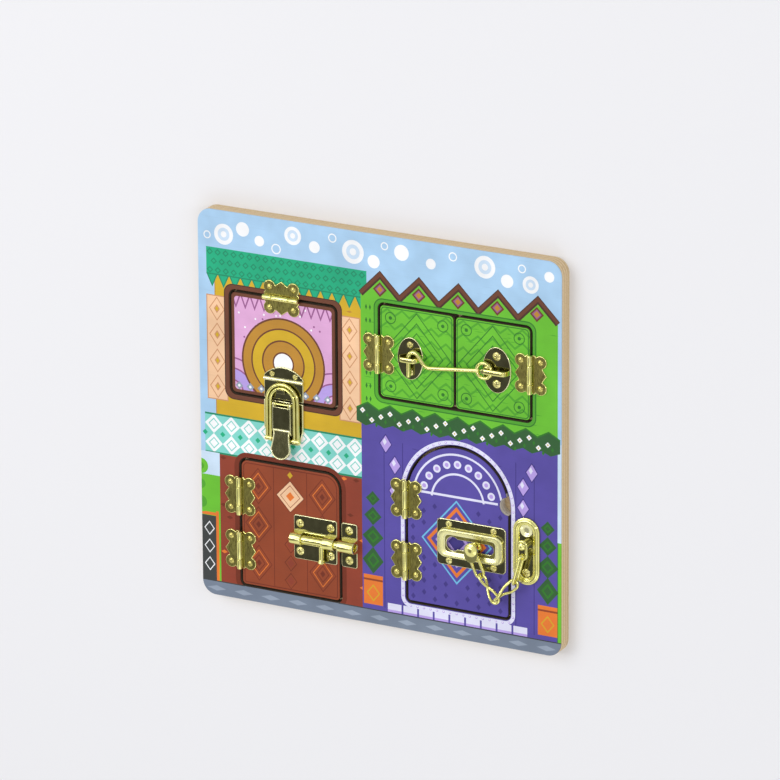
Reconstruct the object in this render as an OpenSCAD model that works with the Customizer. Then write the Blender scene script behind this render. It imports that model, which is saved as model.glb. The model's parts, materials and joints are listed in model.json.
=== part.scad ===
// Wooden busy board: a square board with five hinged doors and four kinds of latch.
// The board lies on its back: front face up (+Z), top edge towards +Y, millimetres.

/* [Board] */
// Side of the square board
board_side = 300; // [296:1:330]
// Side at which the wood round the doors is as given below; half of any change goes to the edges, half between doors
layout_side = 300; // [290:1:310]
// Radius of the board's corners
board_corner_r = 11; // [4:1:18]
// Thickness of the front panel, and so of its doors
panel_t = 9; // [8.5:0.5:14]
// Thickness of the back board
back_t = 3; // [2:0.5:6]
// Gap sawn round every door
door_gap = 2.2; // [1.9:0.1:2.5]
// Gap left behind every door
door_back_gap = 0.3; // [0.2:0.1:0.6]

/* [Window flap] */
// Width of the window flap
window_w = 86.8; // [76:0.2:92]
// Height of the window flap
window_h = 76.9; // [68:0.1:84]
// Wood between the window flap and the board's left edge
window_side_wood = 27.6; // [22.6:0.5:30.6]
// Wood between the window flap and the board's top edge
window_top_wood = 61.1; // [57.6:0.1:63.6]
// Corner radius of the window flap
window_r = 3.5; // [1:0.5:6]

/* [Garage doors] */
// Width of each garage door
garage_w = 60; // [58.5:0.5:62]
// Height of the garage doors
garage_h = 69.4; // [60:0.2:76]
// Wood between the garage doors and the board's right edge
garage_side_wood = 25.7; // [22.9:0.1:26.9]
// Wood between the garage doors and the board's top edge
garage_top_wood = 53; // [50:0.1:59]
// Corner radius of the garage doors
garage_r = 3; // [1:0.5:6]

/* [Red door] */
// Width of the red door
red_w = 82.1; // [76:0.1:86]
// Height of the red door
red_h = 97; // [90:0.5:104]
// Wood between the red door and the board's left edge
red_side_wood = 34.5; // [31:0.1:37]
// Wood between the red door and the board's bottom edge
red_low_wood = 13; // [10:0.5:15]
// Radius of the red door's top corner beside the bolt
red_high_r = 11; // [6:0.5:16]
// Radius of the red door's top corner beside the hinge
red_low_r = 5; // [2:0.5:8]
// Radius of the red door's two bottom corners
red_bottom_r = 3; // [1:0.5:6]

/* [Arched door] */
// Width of the arched door, and so of its round top
arch_w = 82.5; // [76:0.5:86]
// Wood between the arched door and the board's right edge
arch_side_wood = 43.4; // [41.8:0.1:46.8]
// Wood between the arched door and the board's bottom edge
arch_low_wood = 23.6; // [18:0.1:25]
// Height of the straight part below the round top
arch_leg = 82; // [78:0.5:88]
// Radius of the arched door's two bottom corners
arch_bottom_r = 2.4; // [1:0.2:6]
// Radius of the finger notch in the free edge
notch_r = 7; // [6.5:0.5:8]
// Height of the finger notch above the spring of the arch
notch_rise = 3.4; // [0:0.1:5]

/* [Hinges] */
// Thickness of a hinge leaf
leaf_t = 1; // [0.6:0.1:1.2]
// Height of a hinge along its pin
hinge_h = 29.2; // [27:0.2:31]
// Length of the middle knuckle
knuckle_mid = 14.4; // [12:0.2:16]
// Play between two knuckles
knuckle_gap = 0.15; // [0.1:0.05:0.3]
// Radius of the hinge barrel
barrel_r = 2.05; // [1.8:0.05:2.2]
// Radius of the hinge pin
hinge_pin_r = 0.95; // [0.7:0.05:1.1]
// Radius of the four round lobes
lobe_r = 5; // [4.4:0.1:5.2]
// Distance of a lobe's centre from the pin
lobe_u = 7.9; // [7.4:0.1:8.4]
// Distance of a lobe's centre from the middle of the hinge
lobe_v = 9.9; // [9.4:0.1:10.2]
// Height of the garage's left hinge above the middle of its doors
garage_left_hinge = -2.3; // [-8:0.1:8]
// Height of the garage's right hinge above the middle of its doors
garage_right_hinge = 0.7; // [-8:0.1:8]
// Sideways place of the window's hinge on its flap
window_hinge = -0.6; // [-10:0.2:10]
// Height of the red door's upper hinge above its middle
red_hinge_up = 20.5; // [17:0.5:28]
// Depth of the red door's lower hinge below its middle
red_hinge_low = 21.9; // [17:0.5:28]
// Depth of the arched door's upper hinge below the spring of the arch
arch_hinge_up = 3.6; // [3:0.1:8]
// Depth of the arched door's lower hinge below the spring of the arch
arch_hinge_low = 51.4; // [44:0.2:58]

/* [Screws] */
// Radius of a hinge screw's shank
pin_screw_r = 0.9; // [0.7:0.1:1.1]
// Radius of a hinge screw's dome
pin_head_r = 2.3; // [1.8:0.1:2.5]
// Length of a screw below its plate
screw_l = 6.5; // [5:0.5:7]
// Radius of a plate screw's shank
plate_screw_r = 1.3; // [1:0.1:1.5]
// Radius of a large plate screw's head
large_head_r = 3.3; // [2.8:0.1:3.4]
// Radius of a medium plate screw's head
medium_head_r = 2.7; // [2.3:0.1:3]
// Radius of a small plate screw's head
small_head_r = 2.2; // [2:0.1:2.6]
// Height of a plate screw's head
head_h = 1.1; // [0.8:0.1:1.4]

/* [Latch plates] */
// Thickness of every latch plate
plate_t = 1; // [0.8:0.1:1.2]
// Clearance between pieces that pass over each other
pass_gap = 0.35; // [0.3:0.05:0.5]
// Radial clearance of pins, rods and pilot holes
fit_gap = 0.05; // [0.03:0.01:0.08]

/* [Toggle latch] */
// Width of the catch plate and of the base plate
toggle_w = 32.8; // [31:0.2:36]
// Sideways place of the latch on the window flap
toggle_x = 0.6; // [-10:0.2:10]
// Height of the catch plate's shoulders above the seam
catch_shoulder = 19.1; // [18.6:0.1:22]
// Rise of the catch plate's curved top above its shoulders
catch_rise = 7.2; // [5:0.2:9]
// Length of the base plate below the seam
base_l = 32.4; // [31.4:0.2:36]
// Radius of the bail's wire
bail_wire_r = 1.2; // [1:0.05:1.3]
// Half width of the bail over its outer wire
bail_half_w = 14.2; // [13.8:0.1:14.6]
// Height of the bail's top above the seam
bail_top = 14.9; // [14:0.1:15.6]
// Distance of the lever's pin below the seam
lever_pin_y = 1.6; // [1.5:0.1:2.4]
// Distance of the bail's pin from the lever's pin
bail_pin_reach = 27.1; // [26:0.1:28]
// Half width of the lever
lever_half_w = 7.5; // [7.2:0.1:7.6]
// Length of the lever's straight body from its pin
lever_body_l = 19.7; // [18.6:0.1:21]
// Length of the straight part of the tongue
tongue_l = 14; // [12:0.5:16]
// Half width of the tongue at its round end
tongue_half_w = 8.3; // [7.8:0.1:8.5]
// Slope of the tongue away from the board, degrees
tongue_lift = 8; // [4:1:12]

/* [Cabin hook] */
// Half height of the oval keep plate
keep_ry = 16.1; // [15:0.1:18]
// Half width of the oval keep plate
keep_rx = 10.6; // [10.4:0.1:11.4]
// Half height of the oval eye plate
eye_ry = 17.4; // [16:0.1:19]
// Half width of the oval eye plate
eye_rx = 11.6; // [11:0.1:12.4]
// Distance of the keep's middle from the split of the doors
keep_reach = 36; // [35:0.2:36.4]
// Distance of the eye's middle from the split of the doors
eye_reach = 34.8; // [34.4:0.2:35.6]
// Radius of the hook's wire
hook_wire_r = 1.6; // [1.4:0.05:1.7]
// Radius of the wire of the hook's ring
ring_wire_r = 1.35; // [1.2:0.05:1.45]
// Radius of the hook's ring, at the middle of its wire
ring_r = 5.75; // [5.4:0.05:6.2]
// Radius of the hook's bend over the keep
hook_bend_r = 4.3; // [4:0.1:4.6]
// Length of the hook's tip below its bend
hook_tip_l = 13.6; // [12.6:0.2:14.4]
// Depth of the hook's elbow below its ring
hook_elbow_y = 5.2; // [4.6:0.1:5.6]
// Width of the straps on both oval plates
strap_w = 3.6; // [3:0.1:4.2]

/* [Barrel bolt] */
// Width of the bolt's plate
bolt_plate_w = 36.2; // [35.4:0.2:40]
// Height of the bolt's plate and of its keep
bolt_plate_h = 34.2; // [33.4:0.2:38]
// Width of the keep
bolt_keep_w = 13.2; // [12:0.2:14]
// Height of the bolt above the middle of the red door
bolt_rise = -3.7; // [-8:0.1:0]
// Radius of the rod
rod_r = 3.1; // [2.8:0.05:3.2]
// Wall of the guides round the rod
guide_wall = 1.6; // [1.2:0.1:1.8]
// Length that the rod travels
bolt_travel = 13.6; // [13.2:0.1:13.8]
// Length of the rod
rod_l = 49.4; // [48.6:0.2:50]
// Radius of the knob's stem
knob_stem_r = 1.9; // [1.6:0.1:2]
// Reach of the knob from the rod's axis
knob_reach = 16.4; // [15:0.2:17]

/* [Door chain] */
// Width of the slotted plate
chain_plate_w = 56.6; // [56:0.2:58]
// Height of the slotted plate
chain_plate_h = 35.4; // [34.6:0.2:38]
// Width of the raised oblong
pan_w = 54.4; // [53.6:0.2:55]
// Height of the raised oblong
pan_h = 22.4; // [21.8:0.2:23]
// Width of the slot
slot_w = 7.5; // [7.4:0.1:8]
// Distance of the keyhole's centre from the middle of the plate
keyhole_reach = 14.2; // [13.6:0.1:14.6]
// Radius of the keyhole
keyhole_r = 5.4; // [5.2:0.1:5.8]
// Distance of the slot's far end from the middle of the plate
slot_reach = 19.4; // [18.8:0.1:19.8]
// Place of the button along the plate
button_x = 4.2; // [3.4:0.1:5]
// Radius of the wire of the chain links
link_wire_r = 1.1; // [1:0.05:1.15]
// Radius of the round ends of the links, at the middle of the wire
link_end_r = 3.35; // [3.3:0.05:3.5]
// Distance between the round ends' centres on the first link
first_link_c = 14.5; // [14:0.1:15]
// Distance between the round ends' centres on the other links
link_c = 17.5; // [17.3:0.1:18]
// Direction of the first link, degrees
first_link_a = -65; // [-68:0.5:-62]
// Direction of the second link, degrees
second_link_a = -55; // [-57:0.5:-52]
// Width of the oblong anchor plate
anchor_w = 21.6; // [21:0.2:22.4]
// Length of the oblong anchor plate
anchor_l = 51.4; // [50.6:0.2:54]
// Height of the anchor plate's rim
anchor_rim_h = 2.4; // [2:0.1:2.6]

/* [Hidden] */
$fn = 48;

WOOD = "burlywood";
YELLOW = "goldenrod";
GREEN = "limegreen";
BRICK = "brown";
VIOLET = "slateblue";
BRIGHT = "gold";
DARK = "darkkhaki";

face_z = back_t + panel_t;
door_t = panel_t - door_back_gap;
eps = 0.01;
through = 1; // how far a cutter runs past the face that it opens

// Distance from the board's middle of the edges that the doors are laid out from
layout_edge = (board_side + layout_side) / 4;

// Middles of the doors; the garage's is the split between its two
window_x = window_side_wood + window_w / 2 - layout_edge;
window_y = layout_edge - window_top_wood - window_h / 2;
garage_x = layout_edge - garage_side_wood - garage_w - door_gap / 2;
garage_y = layout_edge - garage_top_wood - garage_h / 2;
red_x = red_side_wood + red_w / 2 - layout_edge;
red_y = red_low_wood + red_h / 2 - layout_edge;
arch_x = layout_edge - arch_side_wood - arch_w / 2;
arch_spring = arch_low_wood + arch_leg - layout_edge; // height at which the round top springs

// Edges and seams that hardware is placed from
window_bottom = window_y - window_h / 2;
window_top = window_y + window_h / 2;
window_seam = window_bottom - door_gap / 2;
red_right = red_x + red_w / 2;
arch_left = arch_x - arch_w / 2;
arch_right = arch_x + arch_w / 2;

// Hinges: place of the pin's middle, and the direction in which the door lies
WINDOW_HINGES = [[window_x + window_hinge, window_top + door_gap / 2, -90]];
GARAGE_LEFT_HINGES = [[garage_x - door_gap - garage_w, garage_y + garage_left_hinge, 0]];
GARAGE_RIGHT_HINGES = [[garage_x + door_gap + garage_w, garage_y + garage_right_hinge, 180]];
red_hinge_x = red_x - red_w / 2 - door_gap / 2;
RED_HINGES = [[red_hinge_x, red_y + red_hinge_up, 0], [red_hinge_x, red_y - red_hinge_low, 0]];
arch_hinge_x = arch_left - door_gap / 2;
ARCH_HINGES = [[arch_hinge_x, arch_spring - arch_hinge_up, 0],
    [arch_hinge_x, arch_spring - arch_hinge_low, 0]];
ALL_HINGES = concat(WINDOW_HINGES, GARAGE_LEFT_HINGES, GARAGE_RIGHT_HINGES, RED_HINGES, ARCH_HINGES);

// Hinge leaf, from the pin (u) and along it (v)
barrel_lift = 0.3; // clearance of the barrel above the wood
pin_z = barrel_r + barrel_lift;
leaf_start = barrel_r - 0.05;
point_u = lobe_u + lobe_r;
neck_u = lobe_u + 1.8;
neck_v = lobe_v - 5.2;
tooth_u = 2.8;
tooth_v = hinge_h / 2 + 0.1;
dip_u = lobe_u - 3.3;
dip_v = lobe_v + 3.2;
pin_head_h = 0.9;
pin_cap_r = hinge_pin_r + 0.6;
pin_cap_h = 0.5;

// Screw places: [x, y] lists, each in the frame of the whole board
function mirror4(x, y, dx, dy) = [for (sx = [-1, 1], sy = [-1, 1]) [x + sx * dx, y + sy * dy]];
function mirror2x(x, y, dx) = [for (s = [-1, 1]) [x + s * dx, y]];
function mirror2y(x, y, dy) = [for (s = [-1, 1]) [x, y + s * dy]];
function turn(p, a) = [p[0] * cos(a) - p[1] * sin(a), p[0] * sin(a) + p[1] * cos(a)];
// side is 1 for the door's screws and -1 for the frame's
function hinge_screws(hinges, side) = [for (h = hinges, s = [-1, 1])
    [h[0], h[1]] + turn([side * lobe_u, s * lobe_v], h[2])];

// Toggle latch: x from its middle, y from the seam below the flap, z from the board's face
latch_x = window_x + toggle_x;
catch_lip_y = 0.2; // catch plate's lower edge above the flap's edge
catch_screw_y = 20.4;
catch_screw_x = 9.7;
fold_y = 14.9;
fold_l = 2.8;
fold_h = 1.2;
bail_z = plate_t + bail_wire_r + 1;
bail_r_out = bail_half_w - bail_wire_r;
bail_r_in = bail_r_out - 2 * bail_wire_r - 0.7;
bail_arch_y = bail_top - bail_half_w;
lever_pin_z = bail_z + 0.2;
lever_eye_r = 1.5;
lever_wall = 1;
lever_pin_r = 0.8;
lever_top = lever_pin_z + lever_eye_r;
bail_pin_y = -lever_pin_y - bail_pin_reach;
bail_pin_r = 1.1;
bail_eye_r = 1.9;
tongue_y = -lever_pin_y - lever_body_l;
hook_tab_w = 7;
hook_tab_t = 1;
hook_tab_gap = 0.6;
hook_tab_y = bail_arch_y + bail_r_in - bail_wire_r - hook_tab_gap - hook_tab_t - 0.4;
hook_lip_l = hook_tab_t + hook_tab_gap + 1.2;
CATCH_SCREWS = mirror2x(latch_x, window_seam + catch_screw_y, catch_screw_x);
base_screw_y = [-8, -17];
BASE_SCREWS = [for (y = base_screw_y) [latch_x, window_seam + y]];

// Cabin hook
keep_drop = 2.2; // below the middle of the doors
eye_drop = 0.3;
keep_x = garage_x - keep_reach;
keep_y = garage_y - keep_drop;
eye_x = garage_x + eye_reach;
eye_y = garage_y - eye_drop;
oval_screw_y = 10.4;
hook_z = plate_t + head_h + pass_gap + hook_wire_r; // over the keep's lower screw
ring_in = 8.8; // post's place on the eye plate
ring_drop = 0.8;
ring_x = eye_x - ring_in;
ring_y = eye_y - ring_drop;
post_r = 1.7;
strap_t = 1;
bridge_z = hook_z + hook_wire_r + pass_gap;
strap_z = hook_z + ring_wire_r + 0.4;
KEEP_SCREWS = mirror2y(keep_x, keep_y, oval_screw_y);
EYE_SCREWS = mirror2y(eye_x, eye_y, oval_screw_y);

// Barrel bolt
bolt_edge = 1.4; // plate's distance from the door's free edge
knob_play = 0.6; // left between the knob's stem and a guide at each end of its travel
guide_l = (bolt_plate_w - bolt_travel) / 2 - knob_stem_r - knob_play;
bolt_x = red_right - bolt_edge - bolt_plate_w / 2;
bolt_y = red_y + bolt_rise;
bolt_z = plate_t + rod_r + 2 * fit_gap;
guide_r = rod_r + guide_wall;
bolt_screw_in = [5.2, 6.3]; // screws' distance from the plate's edges
keep_screw_in = 5.5;
keep_edge = 0.2; // keep's distance from the opening's edge
rod_in = 0.8; // rod's end inside the plate's end
bolt_screw_x = bolt_plate_w / 2 - bolt_screw_in[0];
bolt_screw_y = bolt_plate_h / 2 - bolt_screw_in[1];
bolt_keep_x = red_right + door_gap + keep_edge + bolt_keep_w / 2;
keep_screw_y = bolt_plate_h / 2 - keep_screw_in;
rod_left = bolt_x - bolt_plate_w / 2 + rod_in;
knob_x = bolt_x + bolt_plate_w / 2 - guide_l - knob_stem_r - knob_play;
BOLT_SCREWS = mirror4(bolt_x, bolt_y, bolt_screw_x, bolt_screw_y);
BOLT_KEEP_SCREWS = mirror2y(bolt_keep_x, bolt_y, keep_screw_y);

// Door chain
chain_z = anchor_rim_h + pass_gap + link_end_r + link_wire_r; // upright ends clear the anchor's rim
chain_edge = 1.4; // plate's distance from the door's free edge
chain_drop = 31.3; // plate's middle below the spring of the arch
chain_screw_in = [9.9, 3.6]; // screws' distance from the plate's edges
chain_x = arch_right - chain_edge - chain_plate_w / 2;
chain_y = arch_spring - chain_drop;
chain_screw_x = chain_plate_w / 2 - chain_screw_in[0];
chain_screw_y = chain_plate_h / 2 - chain_screw_in[1];
pan_wall_x = 6.7;
pan_wall_y = 4.7;
pan_r = 7;
pan_top = 3.8;
pan_floor = 2.2;
pan_floor_t = 0.8;
pan_hollow = 1;
slider_r = slot_w / 2 - pass_gap;
flange_r = slot_w / 2 + 0.8;
button_r = 5.4;
lug_drop = 4;
lug_z = chain_z + link_wire_r + pass_gap;
lug_t = 1.2;
rivet_r = link_end_r - link_wire_r - pass_gap;
anchor_edge = 2.4; // anchor's distance from the opening's edge
anchor_rise = 3.4; // anchor's middle above the chain plate's
anchor_x = arch_right + door_gap + anchor_edge + anchor_w / 2;
anchor_y = chain_y + anchor_rise;
anchor_rim_w = 5.6;
anchor_dish_r = 4.6;
anchor_dish_y = 16.1;
stud_y = 6.1;
loop_c = 6.8;
anchor_screw_y = -16.6;
CHAIN_SCREWS = mirror4(chain_x, chain_y, chain_screw_x, chain_screw_y);
ANCHOR_SCREWS = [[anchor_x, anchor_y + anchor_screw_y]];

// Chain route in the board's plane: each link turns on the one before it
function step(a, l) = l * [cos(a), sin(a)];
function heading(v) = atan2(v[1], v[0]);
link_seat = link_end_r - 2 * link_wire_r - pass_gap; // a hanging wire's place past the round end's centre
ring_pitch = link_c + link_end_r + link_seat; // upright end's wire to the wire that hangs in the flat end
LINK_0 = [chain_x + button_x, chain_y - lug_drop];
LINK_1 = LINK_0 + step(first_link_a, first_link_c + link_seat);
LINK_2 = LINK_1 + step(second_link_a, ring_pitch);
LINK_4 = [anchor_x, anchor_y + stud_y - loop_c];
last_pitch = link_c + 2 * link_end_r;
span = norm(LINK_4 - LINK_2);
third_link_a = heading(LINK_4 - LINK_2)
    - acos((ring_pitch^2 + span^2 - last_pitch^2) / (2 * ring_pitch * span));
LINK_3 = LINK_2 + step(third_link_a, ring_pitch);

FRAME_SCREWS = concat(BASE_SCREWS, BOLT_KEEP_SCREWS, ANCHOR_SCREWS);
pilot_l = screw_l + 0.5;

// ---- Outlines ----

// Rectangle with its own radius at each corner: top right, top left, bottom left, bottom right
module corner_rect(w, h, radii) {
    difference() {
        square([w, h], center = true);
        for (i = [0:3]) {
            r = radii[i];
            sx = (i == 0 || i == 3) ? 1 : -1;
            sy = i < 2 ? 1 : -1;
            translate([sx * w / 2, sy * h / 2]) rotate(90 * i) difference() {
                translate([-r, -r]) square(r + through);
                translate([-r, -r]) circle(r);
            }
        }
    }
}

module soft_rect(w, h, r) { corner_rect(w, h, [r, r, r, r]); }

module oblong(w, h) {
    r = min(w, h) / 2;
    square([w > h ? w - 2 * r : w, w > h ? h : h - 2 * r], center = true);
    for (s = [-1, 1]) translate([s * (w / 2 - r), s * (h / 2 - r)]) circle(r);
}

module oval(rx, ry) {
    polygon([for (a = [0:6:354]) [rx * cos(a), ry * sin(a)]]);
}

// Door outlines, each grown by g for the opening in the panel
module window_outline(g = 0) {
    translate([window_x, window_y]) soft_rect(window_w + 2 * g, window_h + 2 * g, window_r + g);
}

module garage_outline(side) {
    translate([garage_x + side * (door_gap + garage_w) / 2, garage_y]) soft_rect(garage_w, garage_h, garage_r);
}

module garage_opening() {
    translate([garage_x, garage_y])
        soft_rect(2 * garage_w + 3 * door_gap, garage_h + 2 * door_gap, garage_r + door_gap);
}

module red_outline(g = 0) {
    translate([red_x, red_y]) corner_rect(red_w + 2 * g, red_h + 2 * g,
        [red_high_r + g, red_low_r + g, red_bottom_r + g, red_bottom_r + g]);
}

module arch_outline(g = 0) {
    translate([arch_x, arch_spring]) {
        circle(arch_w / 2 + g, $fn = 96);
        translate([0, -(arch_leg + g) / 2])
            corner_rect(arch_w + 2 * g, arch_leg + g, [0.01, 0.01, arch_bottom_r + g, arch_bottom_r + g]);
    }
}

// ---- Helpers ----

module at_face(x, y, z = 0) { translate([x, y, face_z + z]) children(); }

// Pilot holes for screws, from the board's face down
module pilots(places, r) {
    for (p = places) at_face(p[0], p[1], -pilot_l) cylinder(r = r + fit_gap, h = pilot_l + through);
}

// Screw holes through a plate
module plate_holes(places, r) {
    for (p = places) at_face(p[0], p[1], -through) cylinder(r = r + fit_gap, h = plate_t + 2 * through);
}

// Shallow dome
module dome(r, h) {
    ball_r = (r * r + h * h) / (2 * h);
    intersection() {
        translate([0, 0, h - ball_r]) sphere(ball_r, $fn = 96);
        cylinder(r = r + 1, h = h + 1);
    }
}

module cross_recess(r, h) {
    slot = 0.28 * r;
    for (a = [0, 90]) rotate(a) translate([-0.6 * r, -slot / 2, h / 2]) cube([1.2 * r, slot, h]);
}

// Plate screws with crossed heads, standing on plates of thickness seat
module cross_screws(places, head_r, seat = plate_t) {
    for (p = places) at_face(p[0], p[1], seat) {
        difference() {
            dome(head_r, head_h);
            cross_recess(head_r, head_h);
        }
        translate([0, 0, -screw_l]) cylinder(r = plate_screw_r, h = screw_l + eps);
    }
}

module hinge_screw_set(places) {
    for (p = places) at_face(p[0], p[1], leaf_t) {
        dome(pin_head_r, pin_head_h);
        translate([0, 0, -screw_l]) cylinder(r = pin_screw_r, h = screw_l + eps);
    }
}

// ---- Hinges ----

module leaf_outline() {
    difference() {
        union() {
            polygon([[leaf_start, -tooth_v], [tooth_u, -tooth_v], [dip_u, -dip_v], [lobe_u, -dip_v],
                [neck_u, -neck_v], [point_u, 0], [neck_u, neck_v], [lobe_u, dip_v],
                [dip_u, dip_v], [tooth_u, tooth_v], [leaf_start, tooth_v]]);
            for (s = [-1, 1]) translate([lobe_u, s * lobe_v]) circle(lobe_r);
        }
        for (s = [-1, 1]) translate([lobe_u, s * lobe_v]) circle(pin_screw_r + fit_gap);
    }
}

// Knuckle from v0 to v1 with the web that joins it to the leaf
module knuckle(v0, v1) {
    difference() {
        union() {
            translate([0, v1, pin_z]) rotate([90, 0, 0]) cylinder(r = barrel_r, h = v1 - v0);
            translate([0, v0, 0]) cube([leaf_start + 0.5, v1 - v0, leaf_t]);
        }
        translate([0, v1 + through, pin_z]) rotate([90, 0, 0])
            cylinder(r = hinge_pin_r + fit_gap, h = v1 - v0 + 2 * through);
    }
}

module door_leaf() {
    linear_extrude(leaf_t) leaf_outline();
    knuckle(-knuckle_mid / 2 + knuckle_gap, knuckle_mid / 2 - knuckle_gap);
}

module frame_leaf() {
    rotate(180) {
        linear_extrude(leaf_t) leaf_outline();
        knuckle(-hinge_h / 2, -knuckle_mid / 2);
        knuckle(knuckle_mid / 2, hinge_h / 2);
    }
}

module pin() {
    translate([0, hinge_h / 2 + eps, pin_z]) rotate([90, 0, 0])
        cylinder(r = hinge_pin_r, h = hinge_h + 2 * eps);
    for (s = [-1, 1]) translate([0, s * hinge_h / 2, pin_z]) rotate([-90 * s, 0, 0])
        dome(pin_cap_r, pin_cap_h);
}

module at_hinges(hinges) {
    for (h = hinges) at_face(h[0], h[1]) rotate(h[2]) children();
}

// ---- Board and doors ----

module back_board() {
    color(WOOD) linear_extrude(back_t) soft_rect(board_side, board_side, board_corner_r);
}

module front_panel() {
    color(VIOLET) difference() {
        translate([0, 0, back_t]) linear_extrude(panel_t) difference() {
            soft_rect(board_side, board_side, board_corner_r);
            window_outline(door_gap);
            garage_opening();
            red_outline(door_gap);
            arch_outline(door_gap);
        }
        pilots(hinge_screws(ALL_HINGES, -1), pin_screw_r);
        pilots(FRAME_SCREWS, plate_screw_r);
    }
}

// A door's blank, hung flush with the panel and clear of the back board
module door_blank() {
    translate([0, 0, back_t + door_back_gap]) linear_extrude(door_t) children();
}

module window_flap() {
    color(YELLOW) difference() {
        door_blank() window_outline();
        pilots(hinge_screws(WINDOW_HINGES, 1), pin_screw_r);
        pilots(CATCH_SCREWS, plate_screw_r);
    }
}

module garage_door_left() {
    color(GREEN) difference() {
        door_blank() garage_outline(-1);
        pilots(hinge_screws(GARAGE_LEFT_HINGES, 1), pin_screw_r);
        pilots(KEEP_SCREWS, plate_screw_r);
    }
}

module garage_door_right() {
    color(GREEN) difference() {
        door_blank() garage_outline(1);
        pilots(hinge_screws(GARAGE_RIGHT_HINGES, 1), pin_screw_r);
        pilots(EYE_SCREWS, plate_screw_r);
    }
}

module red_door() {
    color(BRICK) difference() {
        door_blank() red_outline();
        pilots(hinge_screws(RED_HINGES, 1), pin_screw_r);
        pilots(BOLT_SCREWS, plate_screw_r);
    }
}

module arched_door() {
    color(VIOLET) difference() {
        door_blank() difference() {
            arch_outline();
            translate([arch_right, arch_spring + notch_rise]) circle(notch_r);
        }
        pilots(hinge_screws(ARCH_HINGES, 1), pin_screw_r);
        pilots(CHAIN_SCREWS, plate_screw_r);
    }
}

// ---- Hinge nodes ----

module window_hinge_frame_leaf() { color(DARK) at_hinges(WINDOW_HINGES) frame_leaf(); }
module window_hinge_door_leaf() { color(DARK) at_hinges(WINDOW_HINGES) door_leaf(); }
module window_hinge_pin() { color(BRIGHT) at_hinges(WINDOW_HINGES) pin(); }
module garage_left_hinge_frame_leaf() { color(DARK) at_hinges(GARAGE_LEFT_HINGES) frame_leaf(); }
module garage_left_hinge_door_leaf() { color(DARK) at_hinges(GARAGE_LEFT_HINGES) door_leaf(); }
module garage_left_hinge_pin() { color(BRIGHT) at_hinges(GARAGE_LEFT_HINGES) pin(); }
module garage_right_hinge_frame_leaf() { color(DARK) at_hinges(GARAGE_RIGHT_HINGES) frame_leaf(); }
module garage_right_hinge_door_leaf() { color(DARK) at_hinges(GARAGE_RIGHT_HINGES) door_leaf(); }
module garage_right_hinge_pin() { color(BRIGHT) at_hinges(GARAGE_RIGHT_HINGES) pin(); }
module red_door_hinge_frame_leaves() { color(DARK) at_hinges(RED_HINGES) frame_leaf(); }
module red_door_hinge_door_leaves() { color(DARK) at_hinges(RED_HINGES) door_leaf(); }
module red_door_hinge_pins() { color(BRIGHT) at_hinges(RED_HINGES) pin(); }
module arched_door_hinge_frame_leaves() { color(DARK) at_hinges(ARCH_HINGES) frame_leaf(); }
module arched_door_hinge_door_leaves() { color(DARK) at_hinges(ARCH_HINGES) door_leaf(); }
module arched_door_hinge_pins() { color(BRIGHT) at_hinges(ARCH_HINGES) pin(); }
module frame_hinge_screws() { color(BRIGHT) hinge_screw_set(hinge_screws(ALL_HINGES, -1)); }
module window_hinge_screws() { color(BRIGHT) hinge_screw_set(hinge_screws(WINDOW_HINGES, 1)); }
module garage_left_hinge_screws() { color(BRIGHT) hinge_screw_set(hinge_screws(GARAGE_LEFT_HINGES, 1)); }
module garage_right_hinge_screws() { color(BRIGHT) hinge_screw_set(hinge_screws(GARAGE_RIGHT_HINGES, 1)); }
module red_door_hinge_screws() { color(BRIGHT) hinge_screw_set(hinge_screws(RED_HINGES, 1)); }
module arched_door_hinge_screws() { color(BRIGHT) hinge_screw_set(hinge_screws(ARCH_HINGES, 1)); }

// ---- Toggle latch ----

module at_latch(z = 0) { at_face(latch_x, window_seam, z) children(); }

// Cylinder along X from -l/2 to l/2
module cross_rod(r, l) { rotate([0, 90, 0]) translate([0, 0, -l / 2]) cylinder(r = r, h = l); }

module toggle_catch_plate() {
    low = door_gap / 2 + catch_lip_y;
    cap_r = (toggle_w^2 / 4 + catch_rise^2) / (2 * catch_rise);
    color(DARK) difference() {
        at_latch() {
            linear_extrude(plate_t) {
                translate([-toggle_w / 2, low]) square([toggle_w, catch_shoulder - low]);
                intersection() {
                    translate([0, catch_shoulder + catch_rise - cap_r]) circle(cap_r, $fn = 96);
                    translate([-toggle_w / 2, catch_shoulder - 1]) square([toggle_w, catch_rise + 2]);
                }
            }
            // Folded rib above the bail
            translate([-toggle_w / 2, fold_y, plate_t - eps]) rotate([90, 0, 90]) linear_extrude(toggle_w)
                polygon([[0, 0], [fold_l, 0], [fold_l - 0.8, fold_h], [0.8, fold_h]]);
            // Hook that the bail pulls on
            translate([-hook_tab_w / 2, hook_tab_y, 0])
                cube([hook_tab_w, hook_tab_t, bail_z + bail_wire_r + 0.5 + hook_tab_t]);
            translate([-hook_tab_w / 2, hook_tab_y, bail_z + bail_wire_r + 0.5])
                cube([hook_tab_w, hook_lip_l, hook_tab_t]);
        }
        plate_holes(CATCH_SCREWS, plate_screw_r);
    }
}

module toggle_catch_screws() { color(BRIGHT) cross_screws(CATCH_SCREWS, small_head_r); }

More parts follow.
